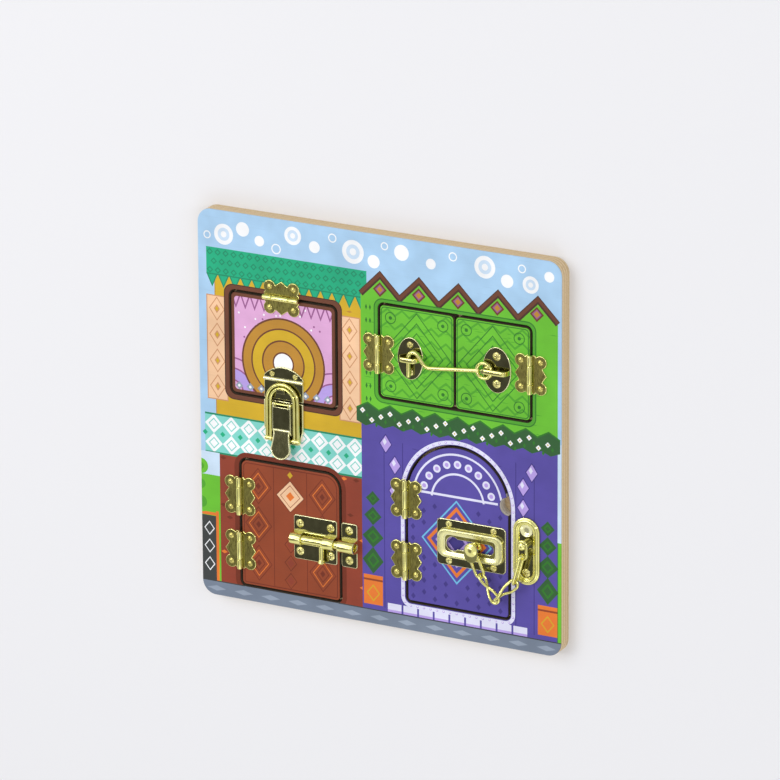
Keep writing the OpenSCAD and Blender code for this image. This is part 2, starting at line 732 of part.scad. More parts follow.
module toggle_base() {
    waist_y = -21;
    foot_w = 0.72 * toggle_w;
    flange_h = 2;
    ear_x = 5.1;
    color(DARK) difference() {
        at_latch() {
            linear_extrude(plate_t) polygon([[-toggle_w / 2, 0], [toggle_w / 2, 0], [toggle_w / 2, waist_y],
                [toggle_w / 2 - 1.6, waist_y - 4], [foot_w / 2, -base_l], [-foot_w / 2, -base_l],
                [-toggle_w / 2 + 1.6, waist_y - 4], [-toggle_w / 2, waist_y]]);
            for (s = [-1, 1]) {
                // Raised edge
                translate([s * (toggle_w / 2 - 0.4) - 0.4, waist_y, 0]) cube([0.8, -waist_y, flange_h]);
                // Ear that carries the lever's pin
                translate([s * (ear_x + lever_wall / 2) - lever_wall / 2, -lever_pin_y, lever_pin_z])
                    rotate([90, 0, 90]) linear_extrude(lever_wall) {
                        circle(lever_eye_r);
                        translate([-lever_eye_r, -lever_pin_z]) square([2 * lever_eye_r, lever_pin_z]);
                    }
            }
        }
        plate_holes(BASE_SCREWS, plate_screw_r);
        at_latch() translate([0, -lever_pin_y, lever_pin_z]) cross_rod(lever_pin_r + fit_gap, toggle_w);
    }
}

module toggle_base_screws() { color(BRIGHT) cross_screws(BASE_SCREWS, small_head_r); }

module toggle_lever() {
    wall_y = bail_pin_y + bail_eye_r + 2;
    plate_y = -lever_pin_y - lever_eye_r - 0.4;
    tube_r = 1.9;
    neck_half_w = lever_half_w - 0.9;
    color(DARK) at_latch() difference() {
        union() {
            // Body
            translate([-lever_half_w, tongue_y, lever_top - lever_wall])
                cube([2 * lever_half_w, plate_y - tongue_y, lever_wall]);
            // Side walls with the eyes of the lever's pin
            for (s = [-1, 1]) translate([s * (lever_half_w - lever_wall / 2) - lever_wall / 2,
                -lever_pin_y, lever_pin_z]) rotate([90, 0, 90]) linear_extrude(lever_wall) {
                    circle(lever_eye_r);
                    translate([wall_y + lever_pin_y, -lever_eye_r])
                        square([-lever_pin_y - wall_y, 2 * lever_eye_r]);
                }
            // Tongue, sloping away from the board to its round end
            translate([0, tongue_y + 0.3, lever_top - lever_wall]) rotate([-tongue_lift, 0, 0])
                linear_extrude(lever_wall) {
                    polygon([[-neck_half_w, 0], [neck_half_w, 0], [tongue_half_w, -tongue_l],
                        [-tongue_half_w, -tongue_l]]);
                    translate([0, -tongue_l]) circle(tongue_half_w);
                }
            // Rib at the fold between body and tongue
            translate([0, tongue_y, lever_top - 0.1]) cross_rod(0.5, 2 * neck_half_w);
            // Tube that carries the bail
            translate([0, bail_pin_y, bail_z]) cross_rod(tube_r, 2 * neck_half_w);
            translate([-neck_half_w, bail_pin_y - 0.8, bail_z])
                cube([2 * neck_half_w, 1.6, lever_top - bail_z]);
        }
        translate([0, -lever_pin_y, lever_pin_z]) cross_rod(lever_pin_r + fit_gap, toggle_w);
        translate([0, bail_pin_y, bail_z]) cross_rod(bail_pin_r + fit_gap, toggle_w);
    }
}

module toggle_lever_pin() {
    color(BRIGHT) at_latch() translate([0, -lever_pin_y, lever_pin_z]) {
        cross_rod(lever_pin_r, 2 * lever_half_w + 0.4);
        for (s = [-1, 1]) translate([s * (lever_half_w + 0.2), 0, 0]) rotate([0, s * 90, 0])
            dome(lever_pin_r + 0.4, 0.5);
    }
}

// U of round wire about the arch's middle, ending at the bail's pin
module wire_u(r) {
    rotate_extrude(angle = 180, $fn = 96) translate([r, 0]) circle(bail_wire_r);
    for (s = [-1, 1]) translate([s * r, 0, 0]) rotate([90, 0, 0])
        cylinder(r = bail_wire_r, h = bail_arch_y - bail_pin_y);
}

module toggle_bail() {
    pin_in = lever_half_w - 2.6;
    eye_in = bail_r_in - bail_wire_r;
    color(BRIGHT) at_latch(bail_z) {
        translate([0, bail_arch_y, 0]) {
            wire_u(bail_r_out);
            wire_u(bail_r_in);
        }
        for (s = [-1, 1]) translate([0, bail_pin_y, 0]) rotate([0, s * 90, 0]) {
            translate([0, 0, eye_in]) cylinder(r = bail_eye_r, h = bail_half_w - eye_in);
            translate([0, 0, pin_in]) cylinder(r = bail_pin_r, h = eye_in - pin_in + eps);
        }
    }
}

// ---- Swept wire ----

function unit(v) = v / norm(v);
// Ring of n points round p, square to the direction t, turned to the reference up
function wire_ring(p, t, up, r, n) = let (b = unit(cross(t, up)), m = cross(b, t))
    [for (i = [0:n - 1]) p + r * (cos(360 * i / n) * b + sin(360 * i / n) * m)];
function arc_points(c, r, a0, a1, k) = [for (i = [0:k]) c + step(a0 + (a1 - a0) * i / k, r)];

// Tube through pts, with a radius and an up vector for each; a closed one has no ends
module swept_wire(pts, radii, ups, n, closed) {
    k = len(pts);
    tangents = [for (i = [0:k - 1]) unit(closed
        ? pts[(i + 1) % k] - pts[(i + k - 1) % k]
        : pts[min(i + 1, k - 1)] - pts[max(i - 1, 0)])];
    points = [for (i = [0:k - 1], p = wire_ring(pts[i], tangents[i], ups[i], radii[i], n)) p];
    bands = closed ? k : k - 1;
    sides = [for (i = [0:bands - 1], j = [0:n - 1])
        let (a = i * n + j, b = i * n + (j + 1) % n, c = ((i + 1) % k) * n + (j + 1) % n,
            d = ((i + 1) % k) * n + j) each [[a, b, c], [a, c, d]]];
    caps = closed ? [] : [[for (j = [0:n - 1]) n - 1 - j], [for (j = [0:n - 1]) (k - 1) * n + j]];
    polyhedron(points = points, faces = concat(sides, caps));
}

// ---- Cabin hook ----

// Route of the hook from its tip, over the bend and the elbow, to its ring
tip_in = 0.3; // hook's tip beyond the keep's middle
bend_rise = 1.9; // bend's centre above the keep's middle
elbow_reach = 14.6; // elbow's distance from the keep's middle
bend_c = [keep_x + tip_in + hook_bend_r, keep_y + bend_rise];
elbow = [keep_x + elbow_reach, ring_y - hook_elbow_y];
ring_c = [ring_x, ring_y];
slope_a = heading(elbow - bend_c);
slope_turn = acos(hook_bend_r / norm(elbow - bend_c));
bend_end_a = slope_a + slope_turn;
elbow_in = unit(bend_c + step(bend_end_a, hook_bend_r) - elbow);
elbow_out = unit(ring_c - elbow);
elbow_cut = 2;
hook_tip = bend_c + [-hook_bend_r, -hook_tip_l];
HOOK_ROUTE = concat(
    [hook_tip - [0, 1], hook_tip - [0, 0.6], hook_tip, bend_c + [-hook_bend_r, -hook_tip_l / 2]],
    arc_points(bend_c, hook_bend_r, 180, bend_end_a, 8),
    [elbow + 2 * elbow_cut * elbow_in, elbow + elbow_cut * elbow_in,
        elbow + 0.3 * elbow_cut * (elbow_in + elbow_out), elbow + elbow_cut * elbow_out,
        elbow + 2 * elbow_cut * elbow_out, ring_c - (ring_r - 0.3) * elbow_out]);
HOOK_RADII = [for (i = [0:len(HOOK_ROUTE) - 1])
    i == 0 ? 0.35 * hook_wire_r : i == 1 ? 0.75 * hook_wire_r : hook_wire_r];

module cabin_hook() {
    color(BRIGHT) at_face(0, 0, hook_z) {
        swept_wire([for (p = HOOK_ROUTE) [p[0], p[1], 0]], HOOK_RADII,
            [for (p = HOOK_ROUTE) [0, 0, 1]], 12, false);
        translate([ring_x, ring_y, 0]) rotate_extrude($fn = 72) translate([ring_r, 0]) circle(ring_wire_r);
    }
}

module hook_eye_plate() {
    reach = eye_x + eye_rx - ring_x;
    foot = 1.6;
    color(DARK) difference() {
        union() {
            at_face(eye_x, eye_y) linear_extrude(plate_t) oval(eye_rx, eye_ry);
            at_face(ring_x, ring_y) {
                cylinder(r = post_r, h = strap_z + strap_t);
                // Strap from the post to the outer edge of the plate
                translate([0, strap_w / 2, 0]) rotate([90, 0, 0]) linear_extrude(strap_w)
                    polygon([[0, strap_z], [0, strap_z + strap_t], [reach - foot - 1.4, strap_z + strap_t],
                        [reach - 0.4, plate_t], [reach - 0.4, 0], [reach - foot - 0.6, 0],
                        [reach - foot - 0.6, plate_t], [reach - foot - 2, strap_z]]);
                cylinder(r = strap_w / 2, h = eps + plate_t);
                translate([0, 0, strap_z]) cylinder(r = strap_w / 2, h = strap_t);
            }
        }
        plate_holes(EYE_SCREWS, plate_screw_r);
    }
}

module hook_eye_screws() { color(BRIGHT) cross_screws(EYE_SCREWS, large_head_r); }

module hook_keep_plate() {
    foot = keep_rx - 1;
    top = foot - 4;
    color(DARK) difference() {
        at_face(keep_x, keep_y) {
            linear_extrude(plate_t) oval(keep_rx, keep_ry);
            // Bridge that the hook's tip passes under
            translate([0, strap_w / 2, 0]) rotate([90, 0, 0]) linear_extrude(strap_w) polygon([
                [-foot, 0], [-foot, plate_t], [-top, bridge_z + strap_t], [top, bridge_z + strap_t],
                [foot, plate_t], [foot, 0], [foot - 1.4, 0], [top, bridge_z], [-top, bridge_z],
                [1.4 - foot, 0]]);
        }
        plate_holes(KEEP_SCREWS, plate_screw_r);
    }
}

module hook_keep_screws() { color(BRIGHT) cross_screws(KEEP_SCREWS, medium_head_r); }

// ---- Barrel bolt ----

// Half-round guide along X, open in its middle for the rod
module bolt_guide(l, clearance) {
    foot = guide_r + 0.6;
    difference() {
        rotate([90, 0, 90]) linear_extrude(l) {
            intersection() {
                translate([0, bolt_z]) circle(guide_r);
                translate([-foot, 0]) square([2 * foot, bolt_z + foot]);
            }
            polygon([[-foot, 0], [foot, 0], [guide_r, bolt_z], [-guide_r, bolt_z]]);
        }
        translate([-through, 0, bolt_z]) rotate([0, 90, 0]) cylinder(r = rod_r + clearance, h = l + 2 * through);
    }
}

module bolt_plate() {
    color(DARK) difference() {
        union() {
            at_face(bolt_x, bolt_y) linear_extrude(plate_t) soft_rect(bolt_plate_w, bolt_plate_h, 1.4);
            for (x = [bolt_x - bolt_plate_w / 2, bolt_x + bolt_plate_w / 2 - guide_l])
                at_face(x, bolt_y) bolt_guide(guide_l, fit_gap);
        }
        plate_holes(BOLT_SCREWS, plate_screw_r);
    }
}

module bolt_plate_screws() { color(BRIGHT) cross_screws(BOLT_SCREWS, large_head_r); }

module bolt_rod() {
    chamfer = 0.6;
    color(BRIGHT) difference() {
        at_face(rod_left, bolt_y, bolt_z) rotate([0, 90, 0]) {
            cylinder(r = rod_r, h = rod_l - chamfer);
            translate([0, 0, rod_l - chamfer]) cylinder(r1 = rod_r, r2 = rod_r - chamfer, h = chamfer);
        }
        at_face(knob_x, bolt_y, bolt_z) rotate([90, 0, 0])
            cylinder(r = knob_stem_r - 0.5 + fit_gap, h = rod_r + through);
    }
}

module bolt_knob() {
    flare_l = 3;
    flare_r = knob_stem_r + 1;
    color(BRIGHT) at_face(knob_x, bolt_y, bolt_z) rotate([90, 0, 0]) {
        cylinder(r = knob_stem_r - 0.5, h = rod_r);
        translate([0, 0, rod_r + fit_gap]) cylinder(r = knob_stem_r, h = knob_reach - rod_r - flare_l);
        translate([0, 0, rod_r - eps]) cylinder(r = knob_stem_r - 0.5, h = 1);
        translate([0, 0, knob_reach - flare_l]) cylinder(r1 = knob_stem_r, r2 = flare_r, h = flare_l - 0.8);
        translate([0, 0, knob_reach - 0.8]) cylinder(r1 = flare_r, r2 = flare_r - 0.5, h = 0.8);
    }
}

module bolt_keep() {
    color(DARK) difference() {
        union() {
            at_face(bolt_keep_x, bolt_y) linear_extrude(plate_t) soft_rect(bolt_keep_w, bolt_plate_h, 1.4);
            at_face(bolt_keep_x - bolt_keep_w / 2, bolt_y) bolt_guide(bolt_keep_w, 2 * fit_gap);
        }
        plate_holes(BOLT_KEEP_SCREWS, plate_screw_r);
    }
}

module bolt_keep_screws() { color(BRIGHT) cross_screws(BOLT_KEEP_SCREWS, large_head_r); }

// ---- Door chain ----

module chain_slide_plate() {
    color(DARK) difference() {
        at_face(chain_x, chain_y) {
            linear_extrude(plate_t) soft_rect(chain_plate_w, chain_plate_h, 2.9);
            linear_extrude(pan_top) soft_rect(pan_w, pan_h, pan_r);
        }
        at_face(chain_x, chain_y) {
            // Recess above the slotted floor, and the hollow below it
            translate([0, 0, pan_floor + pan_floor_t]) linear_extrude(pan_top)
                soft_rect(pan_w - 2 * pan_wall_x, pan_h - 2 * pan_wall_y, 3);
            translate([0, 0, -through]) linear_extrude(pan_floor + through)
                soft_rect(pan_w - 2 * pan_wall_x + 2 * pan_hollow, pan_h - 2 * pan_wall_y + 2 * pan_hollow, 4);
            // Slot with its keyhole
            translate([0, 0, -through]) linear_extrude(pan_top + 2 * through) {
                translate([-keyhole_reach, -slot_w / 2])
                    square([keyhole_reach + slot_reach - slot_w / 2, slot_w]);
                translate([slot_reach - slot_w / 2, 0]) circle(slot_w / 2);
                translate([-keyhole_reach, 0]) circle(keyhole_r);
            }
        }
        plate_holes(CHAIN_SCREWS, plate_screw_r);
    }
}

module chain_slide_screws() { color(BRIGHT) cross_screws(CHAIN_SCREWS, medium_head_r); }

// Pear-shaped plate from the slot's axis down to the chain's rivet
module lug(r, h) {
    linear_extrude(h) {
        circle(r);
        translate([-r, -lug_drop]) square([2 * r, lug_drop]);
        translate([0, -lug_drop]) circle(r);
    }
}

module chain_button() {
    flange_z = 0.5;
    crank_z = pan_top + pass_gap;
    crank_top = chain_z - link_wire_r - pass_gap;
    color(BRIGHT) at_face(LINK_0[0], chain_y) {
        translate([0, 0, flange_z]) cylinder(r = flange_r, h = pan_floor - pass_gap - flange_z);
        translate([0, 0, flange_z]) cylinder(r = slider_r, h = crank_top - flange_z);
        translate([0, 0, crank_z]) lug(slider_r, crank_top - crank_z);
        translate([0, -lug_drop, crank_top - eps]) cylinder(r = rivet_r, h = lug_z - crank_top + 2 * eps);
        translate([0, 0, lug_z]) {
            lug(button_r, lug_t);
            translate([0, 0, lug_t - eps]) dome(button_r - 0.6, 1.4);
        }
    }
}

// Closed link of round wire along X. Its first end's middle lies at 0 and its second at c.
// tilt0 and tilt1 turn the two ends about the length, and the straight sides twist between.
function smooth(f) = f * f * (3 - 2 * f);
function link_tilt(x, c, tilt0, tilt1) = tilt0 + (tilt1 - tilt0) * smooth(min(max(x / c, 0), 1));
function link_route(c) = let (e = 7, m = 5) concat(
    arc_points([0, 0], link_end_r, 90, 270, e),
    [for (i = [1:m]) [c * i / (m + 1), -link_end_r]],
    arc_points([c, 0], link_end_r, -90, 90, e),
    [for (i = [m:-1:1]) [c * i / (m + 1), link_end_r]]);

module chain_ring(c, tilt0, tilt1) {
    route = link_route(c);
    swept_wire(
        [for (p = route) let (t = link_tilt(p[0], c, tilt0, tilt1)) [p[0], p[1] * cos(t), p[1] * sin(t)]],
        [for (p = route) link_wire_r],
        [for (p = route) let (t = link_tilt(p[0], c, tilt0, tilt1)) [0, -sin(t), cos(t)]], 8, true);
}

// Link hung at the joint j in the direction a; a link that starts upright has its wire there
module chain_link(j, a, c, tilt0, tilt1) {
    color(BRIGHT) at_face(j[0], j[1], chain_z) rotate(a)
        translate([tilt0 == 0 ? 0 : link_end_r, 0, 0]) chain_ring(c, tilt0, tilt1);
}

module chain_link_1() { chain_link(LINK_0, first_link_a, first_link_c, 0, 0); }
module chain_link_2() { chain_link(LINK_1, second_link_a, link_c, 90, 0); }
module chain_link_3() { chain_link(LINK_2, third_link_a, link_c, 90, 0); }
module chain_link_4() { chain_link(LINK_3, heading(LINK_4 - LINK_3), link_c, 90, 90); }

module chain_anchor_plate() {
    color(BRIGHT) difference() {
        at_face(anchor_x, anchor_y) linear_extrude(anchor_rim_h) oblong(anchor_w, anchor_l);
        at_face(anchor_x, anchor_y, plate_t) linear_extrude(anchor_rim_h)
            oblong(anchor_w - 2 * anchor_rim_w, anchor_l - 2 * anchor_rim_w);
        at_face(anchor_x, anchor_y + anchor_dish_y, -through) cylinder(r = anchor_dish_r, h = anchor_l);
        plate_holes(ANCHOR_SCREWS, plate_screw_r);
    }
}

module chain_anchor_screw() { color(BRIGHT) cross_screws(ANCHOR_SCREWS, large_head_r); }

module chain_anchor_stud() {
    top = chain_z + link_wire_r + pass_gap;
    color(BRIGHT) at_face(anchor_x, anchor_y + stud_y) {
        translate([0, 0, plate_t]) cylinder(r = rivet_r, h = top - plate_t + eps);
        translate([0, 0, plate_t]) cylinder(r = rivet_r + 1,
            h = chain_z - link_wire_r - pass_gap - plate_t);
        translate([0, 0, top]) dome(rivet_r + 1, 1.2);
    }
}

module chain_anchor_loop() {
    color(BRIGHT) at_face(anchor_x, anchor_y + stud_y, chain_z) rotate(-90) chain_ring(loop_c, 0, 0);
}

back_board();
front_panel();
window_flap();
garage_door_left();
garage_door_right();
red_door();
arched_door();
window_hinge_frame_leaf();
window_hinge_door_leaf();
window_hinge_pin();
garage_left_hinge_frame_leaf();
garage_left_hinge_door_leaf();
garage_left_hinge_pin();
garage_right_hinge_frame_leaf();
garage_right_hinge_door_leaf();
garage_right_hinge_pin();
red_door_hinge_frame_leaves();
red_door_hinge_door_leaves();
red_door_hinge_pins();
arched_door_hinge_frame_leaves();
arched_door_hinge_door_leaves();
arched_door_hinge_pins();
frame_hinge_screws();
window_hinge_screws();
garage_left_hinge_screws();
garage_right_hinge_screws();
red_door_hinge_screws();
arched_door_hinge_screws();
toggle_catch_plate();
toggle_catch_screws();
toggle_base();
toggle_base_screws();
toggle_lever();
toggle_lever_pin();
toggle_bail();
cabin_hook();
hook_eye_plate();
hook_eye_screws();
hook_keep_plate();
hook_keep_screws();
bolt_plate();
bolt_plate_screws();
bolt_rod();
bolt_knob();
bolt_keep();
bolt_keep_screws();
chain_slide_plate();
chain_slide_screws();
chain_button();
chain_link_1();
chain_link_2();
chain_link_3();
chain_link_4();
chain_anchor_plate();
chain_anchor_stud();
chain_anchor_loop();
chain_anchor_screw();
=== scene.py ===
import json
import math

import bmesh
import bpy
import numpy as np
from mathutils import Matrix, Vector
from mathutils.geometry import delaunay_2d_cdt


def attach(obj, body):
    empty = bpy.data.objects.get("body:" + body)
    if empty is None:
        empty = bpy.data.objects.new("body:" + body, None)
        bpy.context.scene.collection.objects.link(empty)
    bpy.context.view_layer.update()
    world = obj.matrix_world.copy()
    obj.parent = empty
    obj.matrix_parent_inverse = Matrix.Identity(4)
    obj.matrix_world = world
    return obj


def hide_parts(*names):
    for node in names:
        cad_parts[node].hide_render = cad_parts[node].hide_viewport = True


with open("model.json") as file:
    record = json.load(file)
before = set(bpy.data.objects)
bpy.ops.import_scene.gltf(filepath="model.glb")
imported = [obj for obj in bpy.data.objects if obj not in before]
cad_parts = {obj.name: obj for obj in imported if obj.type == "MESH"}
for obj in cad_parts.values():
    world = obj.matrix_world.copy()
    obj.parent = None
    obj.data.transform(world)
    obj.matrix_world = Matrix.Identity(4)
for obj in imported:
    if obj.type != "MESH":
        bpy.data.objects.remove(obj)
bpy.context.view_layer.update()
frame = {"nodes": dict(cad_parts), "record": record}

MM = 0.001  # a millimetre in metres

# ---- Colours ----


def srgb(text):
    """Linear RGBA of a colour written as #rrggbb."""
    out = []
    for i in (1, 3, 5):
        v = int(text[i:i + 2], 16) / 255
        out.append(v / 12.92 if v <= 0.04045 else ((v + 0.055) / 1.055) ** 2.4)
    return (*out, 1.0)


def shade(rgba, f):
    return (*(min(1.0, v * f) for v in rgba[:3]), 1.0)


INK = {
    "sky": "#a7cbea", "sky_pale": "#c9def2", "white": "#f3f4f6", "teal": "#12a87a", "teal_dark": "#0e8660",
    "amber": "#cfa920", "ochre": "#b9852c", "peach": "#efc49c", "peach_dark": "#c98f66",
    "pink": "#dba6d2", "plum": "#96598c", "brown": "#6a3b25", "brown_dark": "#472a1d",
    "green": "#68be2c", "green_mid": "#4ea326", "green_line": "#2b7420", "leaf": "#2b5c2d",
    "mint": "#7fd0c6", "brick": "#8d3a24", "red": "#90401f", "red_dark": "#71290f", "orange": "#e2772a",
    "violet": "#54489e", "violet_dark": "#3d3280", "lilac": "#b49be0", "lavender": "#dcdcf2",
    "blue": "#6cb8e0", "slate": "#748092", "slate_pale": "#929eb0", "charcoal": "#3a3d3c",
}

# ---- Node helpers ----


def new_material(name):
    m = bpy.data.materials.new(name)
    m.use_nodes = True
    t = m.node_tree
    return m, t, t.nodes["Principled BSDF"]


def feed(t, socket, v):
    """Gives a socket the value v, or links it to the socket v."""
    if isinstance(v, bpy.types.NodeSocket):
        t.links.new(v, socket)
    else:
        socket.default_value = v


def wire(t, n, **inputs):
    """Feeds inputs of node n by name, with _ for a space."""
    for key, v in inputs.items():
        feed(t, n.inputs[key.replace("_", " ")], v)
    return n


def add(t, kind, **inputs):
    return wire(t, t.nodes.new("ShaderNode" + kind), **inputs)


def object_coords(t, scale=(1, 1, 1), spin=(0, 0, 0)):
    """Object coordinates in metres, times scale."""
    own = add(t, "TexCoord").outputs["Object"]
    return add(t, "Mapping", Vector=own, Scale=scale, Rotation=spin).outputs["Vector"]


def noise(t, vector, scale=1.0, detail=3.0, rough=0.55):
    return add(t, "TexNoise", Vector=vector, Scale=scale, Detail=detail, Roughness=rough).outputs["Fac"]


def spread(t, value, lo, hi, to_lo=0.0, to_hi=1.0):
    """value from lo..hi to to_lo..to_hi, clamped."""
    n = add(t, "MapRange", Value=value, From_Min=lo, From_Max=hi, To_Min=to_lo, To_Max=to_hi)
    return n.outputs["Result"]


def mix(t, fac, a, b):
    """Colour a to b by fac; each is a colour or a socket."""
    n = add(t, "Mix")
    n.data_type = "RGBA"
    feed(t, n.inputs["Factor"], fac)
    for key, v in (("A", a), ("B", b)):
        feed(t, [s for s in n.inputs if s.name == key and s.type == "RGBA"][0], v)
    return [s for s in n.outputs if s.type == "RGBA"][0]


def maths(t, op, a, b=0.0, kind="Math"):
    n = add(t, kind)
    n.operation = op
    feed(t, n.inputs[0], a)
    feed(t, n.inputs[1], b)
    return n.outputs["Value"]


def bump(t, height, strength, distance, **normal):
    return add(t, "Bump", Height=height, Strength=strength, Distance=distance, **normal).outputs["Normal"]


# ---- Materials ----

# Noise scales per metre along X, Y and Z: low along the grain and high across it
PRINT_GRAIN = (60, 900, 900)
FACE_GRAIN = (18, 420, 420)
PORES = (40, 1600, 1600)
EDGE_FIBRES = (700, 700, 2600)
SCRATCHES = (2400, 260, 900)
PLY_T = 0.0015  # thickness of one ply
WORN = 0.5  # share by which scratches change a metal's roughness


def paint(key):
    """Print on plywood: the ink with slow shading, a faint grain and the weave of the coat."""
    ink = srgb(INK[key])
    m, t, b = new_material("print_" + key)
    slow = spread(t, noise(t, object_coords(t), 38, 2.0), 0.32, 0.68)
    base = mix(t, slow, shade(ink, 0.90), shade(ink, 1.07))
    grain = noise(t, object_coords(t, PRINT_GRAIN), detail=4.0, rough=0.6)
    streak = spread(t, grain, 0.56, 0.74, 0.0, 0.20)
    base = mix(t, streak, base, shade(ink, 0.70))
    fleck = spread(t, noise(t, object_coords(t), 2600, 2.0), 0.60, 0.78, 0.0, 0.10)
    base = mix(t, fleck, base, shade(ink, 1.35))
    wire(t, b, Base_Color=base, Roughness=spread(t, grain, 0.3, 0.7, 0.40, 0.54),
         Normal=bump(t, grain, 0.25, 0.00012), Specular_IOR_Level=0.35)
    return m


def plywood(name, pale, mid, dark):
    """Birch plywood: plies show on the edges, long grain on the faces."""
    m, t, b = new_material(name)
    pale, mid, dark = srgb(pale), srgb(mid), srgb(dark)
    face_grain = noise(t, object_coords(t, FACE_GRAIN), detail=6.0, rough=0.62)
    face = mix(t, spread(t, face_grain, 0.35, 0.68), pale, mid)
    face = mix(t, spread(t, noise(t, object_coords(t, PORES)), 0.62, 0.74, 0, 0.5), face, dark)
    # Plies, told apart by height
    height = add(t, "SeparateXYZ", Vector=object_coords(t)).outputs["Z"]
    band = maths(t, "SINE", maths(t, "MULTIPLY", height, math.pi / PLY_T))
    fibres = noise(t, object_coords(t, EDGE_FIBRES))
    edge = mix(t, spread(t, band, -0.35, 0.35), mid, pale)
    edge = mix(t, spread(t, fibres, 0.5, 0.72, 0, 0.6), edge, dark)
    up = add(t, "SeparateXYZ", Vector=add(t, "TexCoord").outputs["Normal"]).outputs["Z"]
    flat = spread(t, maths(t, "ABSOLUTE", up), 0.6, 0.8)
    wire(t, b, Base_Color=mix(t, flat, edge, face), Roughness=0.62, Normal=bump(t, face_grain, 0.3, 0.00025))
    return m


def brass(name, body, tint, rim, rough, rim_width, highlight_gain, brushed=0.0, metal=1.0):
    """Plated metal: body colour with slow tint, a painted highlight in the paler rim colour along the edges,
    fine scratches.
    """
    m, t, b = new_material(name)
    slow = spread(t, noise(t, object_coords(t), 170), 0.32, 0.70)
    base = mix(t, slow, srgb(body), srgb(tint))
    bevel = add(t, "Bevel", Radius=rim_width)
    bevel.samples = 6
    soft, sharp = bevel.outputs["Normal"], add(t, "NewGeometry").outputs["Normal"]
    # Painted highlight: the paler rim colour is mixed in where the bevel's rounded normal turns away from the
    # face's own
    edge = spread(t, maths(t, "DOT_PRODUCT", soft, sharp, "VectorMath"), 1.0, 1.0 - highlight_gain)
    scratch = noise(t, object_coords(t, SCRATCHES, (0.3, 0.2, 0.7)), detail=4.0, rough=0.6)
    wire(t, b, Base_Color=mix(t, edge, base, srgb(rim)), Metallic=metal,
         Roughness=spread(t, scratch, 0.3, 0.75, rough * (1 - WORN), rough * (1 + WORN)),
         Normal=bump(t, scratch, 0.12 + brushed, 0.00003, Normal=soft))
    return m


PLY = plywood("birch_plywood", "#e3cda6", "#d3b688", "#a98455")
SCREW = brass("screw_brass", "#e4de98", "#c4b86a", "#f8f4c2", 0.20, 0.00025, 0.35)
BRIGHT = brass("bright_brass", "#f3ee9c", "#e4de84", "#fdfbca", 0.13, 0.0003, 0.45)
FINISHES = {
    "wood": PLY,
    # Walls of the cuts: plywood painted dark as the shade in the narrow gaps
    "sawn": plywood("kerf_shade_edge", "#665a4a", "#4b4135", "#2e2822"),
    # Wall of the finger notch: plywood painted pale as the light the notch lets in
    "notch": plywood("notch_light_edge", "#efeae2", "#ded7cc", "#bdb4a8"),
    "bright": BRIGHT,
    # Rim brass: brass painted pale, with less metal, as a highlight on rounded edges, folds and ribs
    "rim": brass("rim_highlight_brass", "#f7f4c6", "#ebe7ac", "#fffde0", 0.16, 0.0002, 0.45, metal=0.8),
    # Pan brass: brass painted pale, with less metal, as a highlight on the broad face of the chain plate's
    # raised frame
    "pan": brass("pan_highlight_brass", "#f4f0b0", "#e9e4a0", "#fffbdc", 0.30, 0.0003, 0.40, metal=0.75),
    # Plate brass: brass painted darker as a dark reflection on the flat plates
    "plate": brass("plate_dark_reflection_brass", "#8a8762", "#74714e", "#c8bf84", 0.13, 0.0003, 0.35),
    "satin": brass("satin_brass", "#9a9350", "#857c45", "#d6cc94", 0.36, 0.0003, 0.35, 0.30),
}


def finish_of(key):
    """Material of a key, which is a metal, a wood or an ink."""
    if key not in FINISHES:
        FINISHES[key] = paint(key)
    return FINISHES[key]


# ---- Flat outlines, in millimetres on the board's face ----

MITRE = 0.5  # least cosine in a mitre, which keeps sharp corners short


def circle(x, y, r, n=28):
    a = np.radians(np.arange(n) * 360 / n)
    return np.stack([x + r * np.cos(a), y + r * np.sin(a)], 1)


def arc(centre, r, angles):
    """Points of a circle at angles in radians."""
    return [(centre[0] + r * math.cos(q), centre[1] + r * math.sin(q)) for q in angles]


def degrees(a0, a1, n):
    """n angles in radians from a0 to a1 degrees."""
    return np.radians(np.linspace(a0, a1, n))


def oval(rx, ry):
    sides = 72
    a = np.arange(sides) * 2 * math.pi / sides
    return np.stack([rx * np.cos(a), ry * np.sin(a)], 1)


def rhombus(x, y, w, h):
    return np.array([[x + w / 2, y], [x, y + h / 2], [x - w / 2, y], [x, y - h / 2]])


def rect(x0, y0, x1, y1):
    return np.array([[x0, y0], [x1, y0], [x1, y1], [x0, y1]])


def rounded(x, y, w, h, radii, n=8):
    """Rectangle with radii at top right, top left, bottom left, bottom right, anticlockwise."""
    pts = []
    for i, r in enumerate(radii):
        sx, sy = (1, -1, -1, 1)[i], (1, 1, -1, -1)[i]
        cx, cy = x + sx * (w / 2 - r), y + sy * (h / 2 - r)
        for a in np.radians(90 * i + np.linspace(0, 90, n + 1)):
            pts.append([cx + r * np.cos(a), cy + r * np.sin(a)])
    return np.array(pts)


def outward(loop, closed=True):
    """Mitred normals on the right of a loop or a line, which is outside an anticlockwise loop."""
    d = np.roll(loop, -1, 0) - loop
    if not closed:
        d[-1] = d[-2]
    d /= np.maximum(np.hypot(d[:, 0], d[:, 1]), 1e-9)[:, None]
    n1 = np.stack([d[:, 1], -d[:, 0]], 1)
    n0 = np.roll(n1, 1, 0)
    if not closed:
        n0[0] = n1[0]
    m = n0 + n1
    return m / np.maximum(np.sum(m * n0, 1), MITRE)[:, None]


def stroke(points, width, closed=False):
    """Outline of a line of that width through points, as one or two loops."""
    p = np.asarray(points, float)
    side = outward(p, closed) * width / 2
    return [p - side, p + side] if closed else [np.vstack([p - side, (p + side)[::-1]])]


def grown(loop, by):
    loop = np.asarray(loop, float)
    return loop + outward(loop) * by


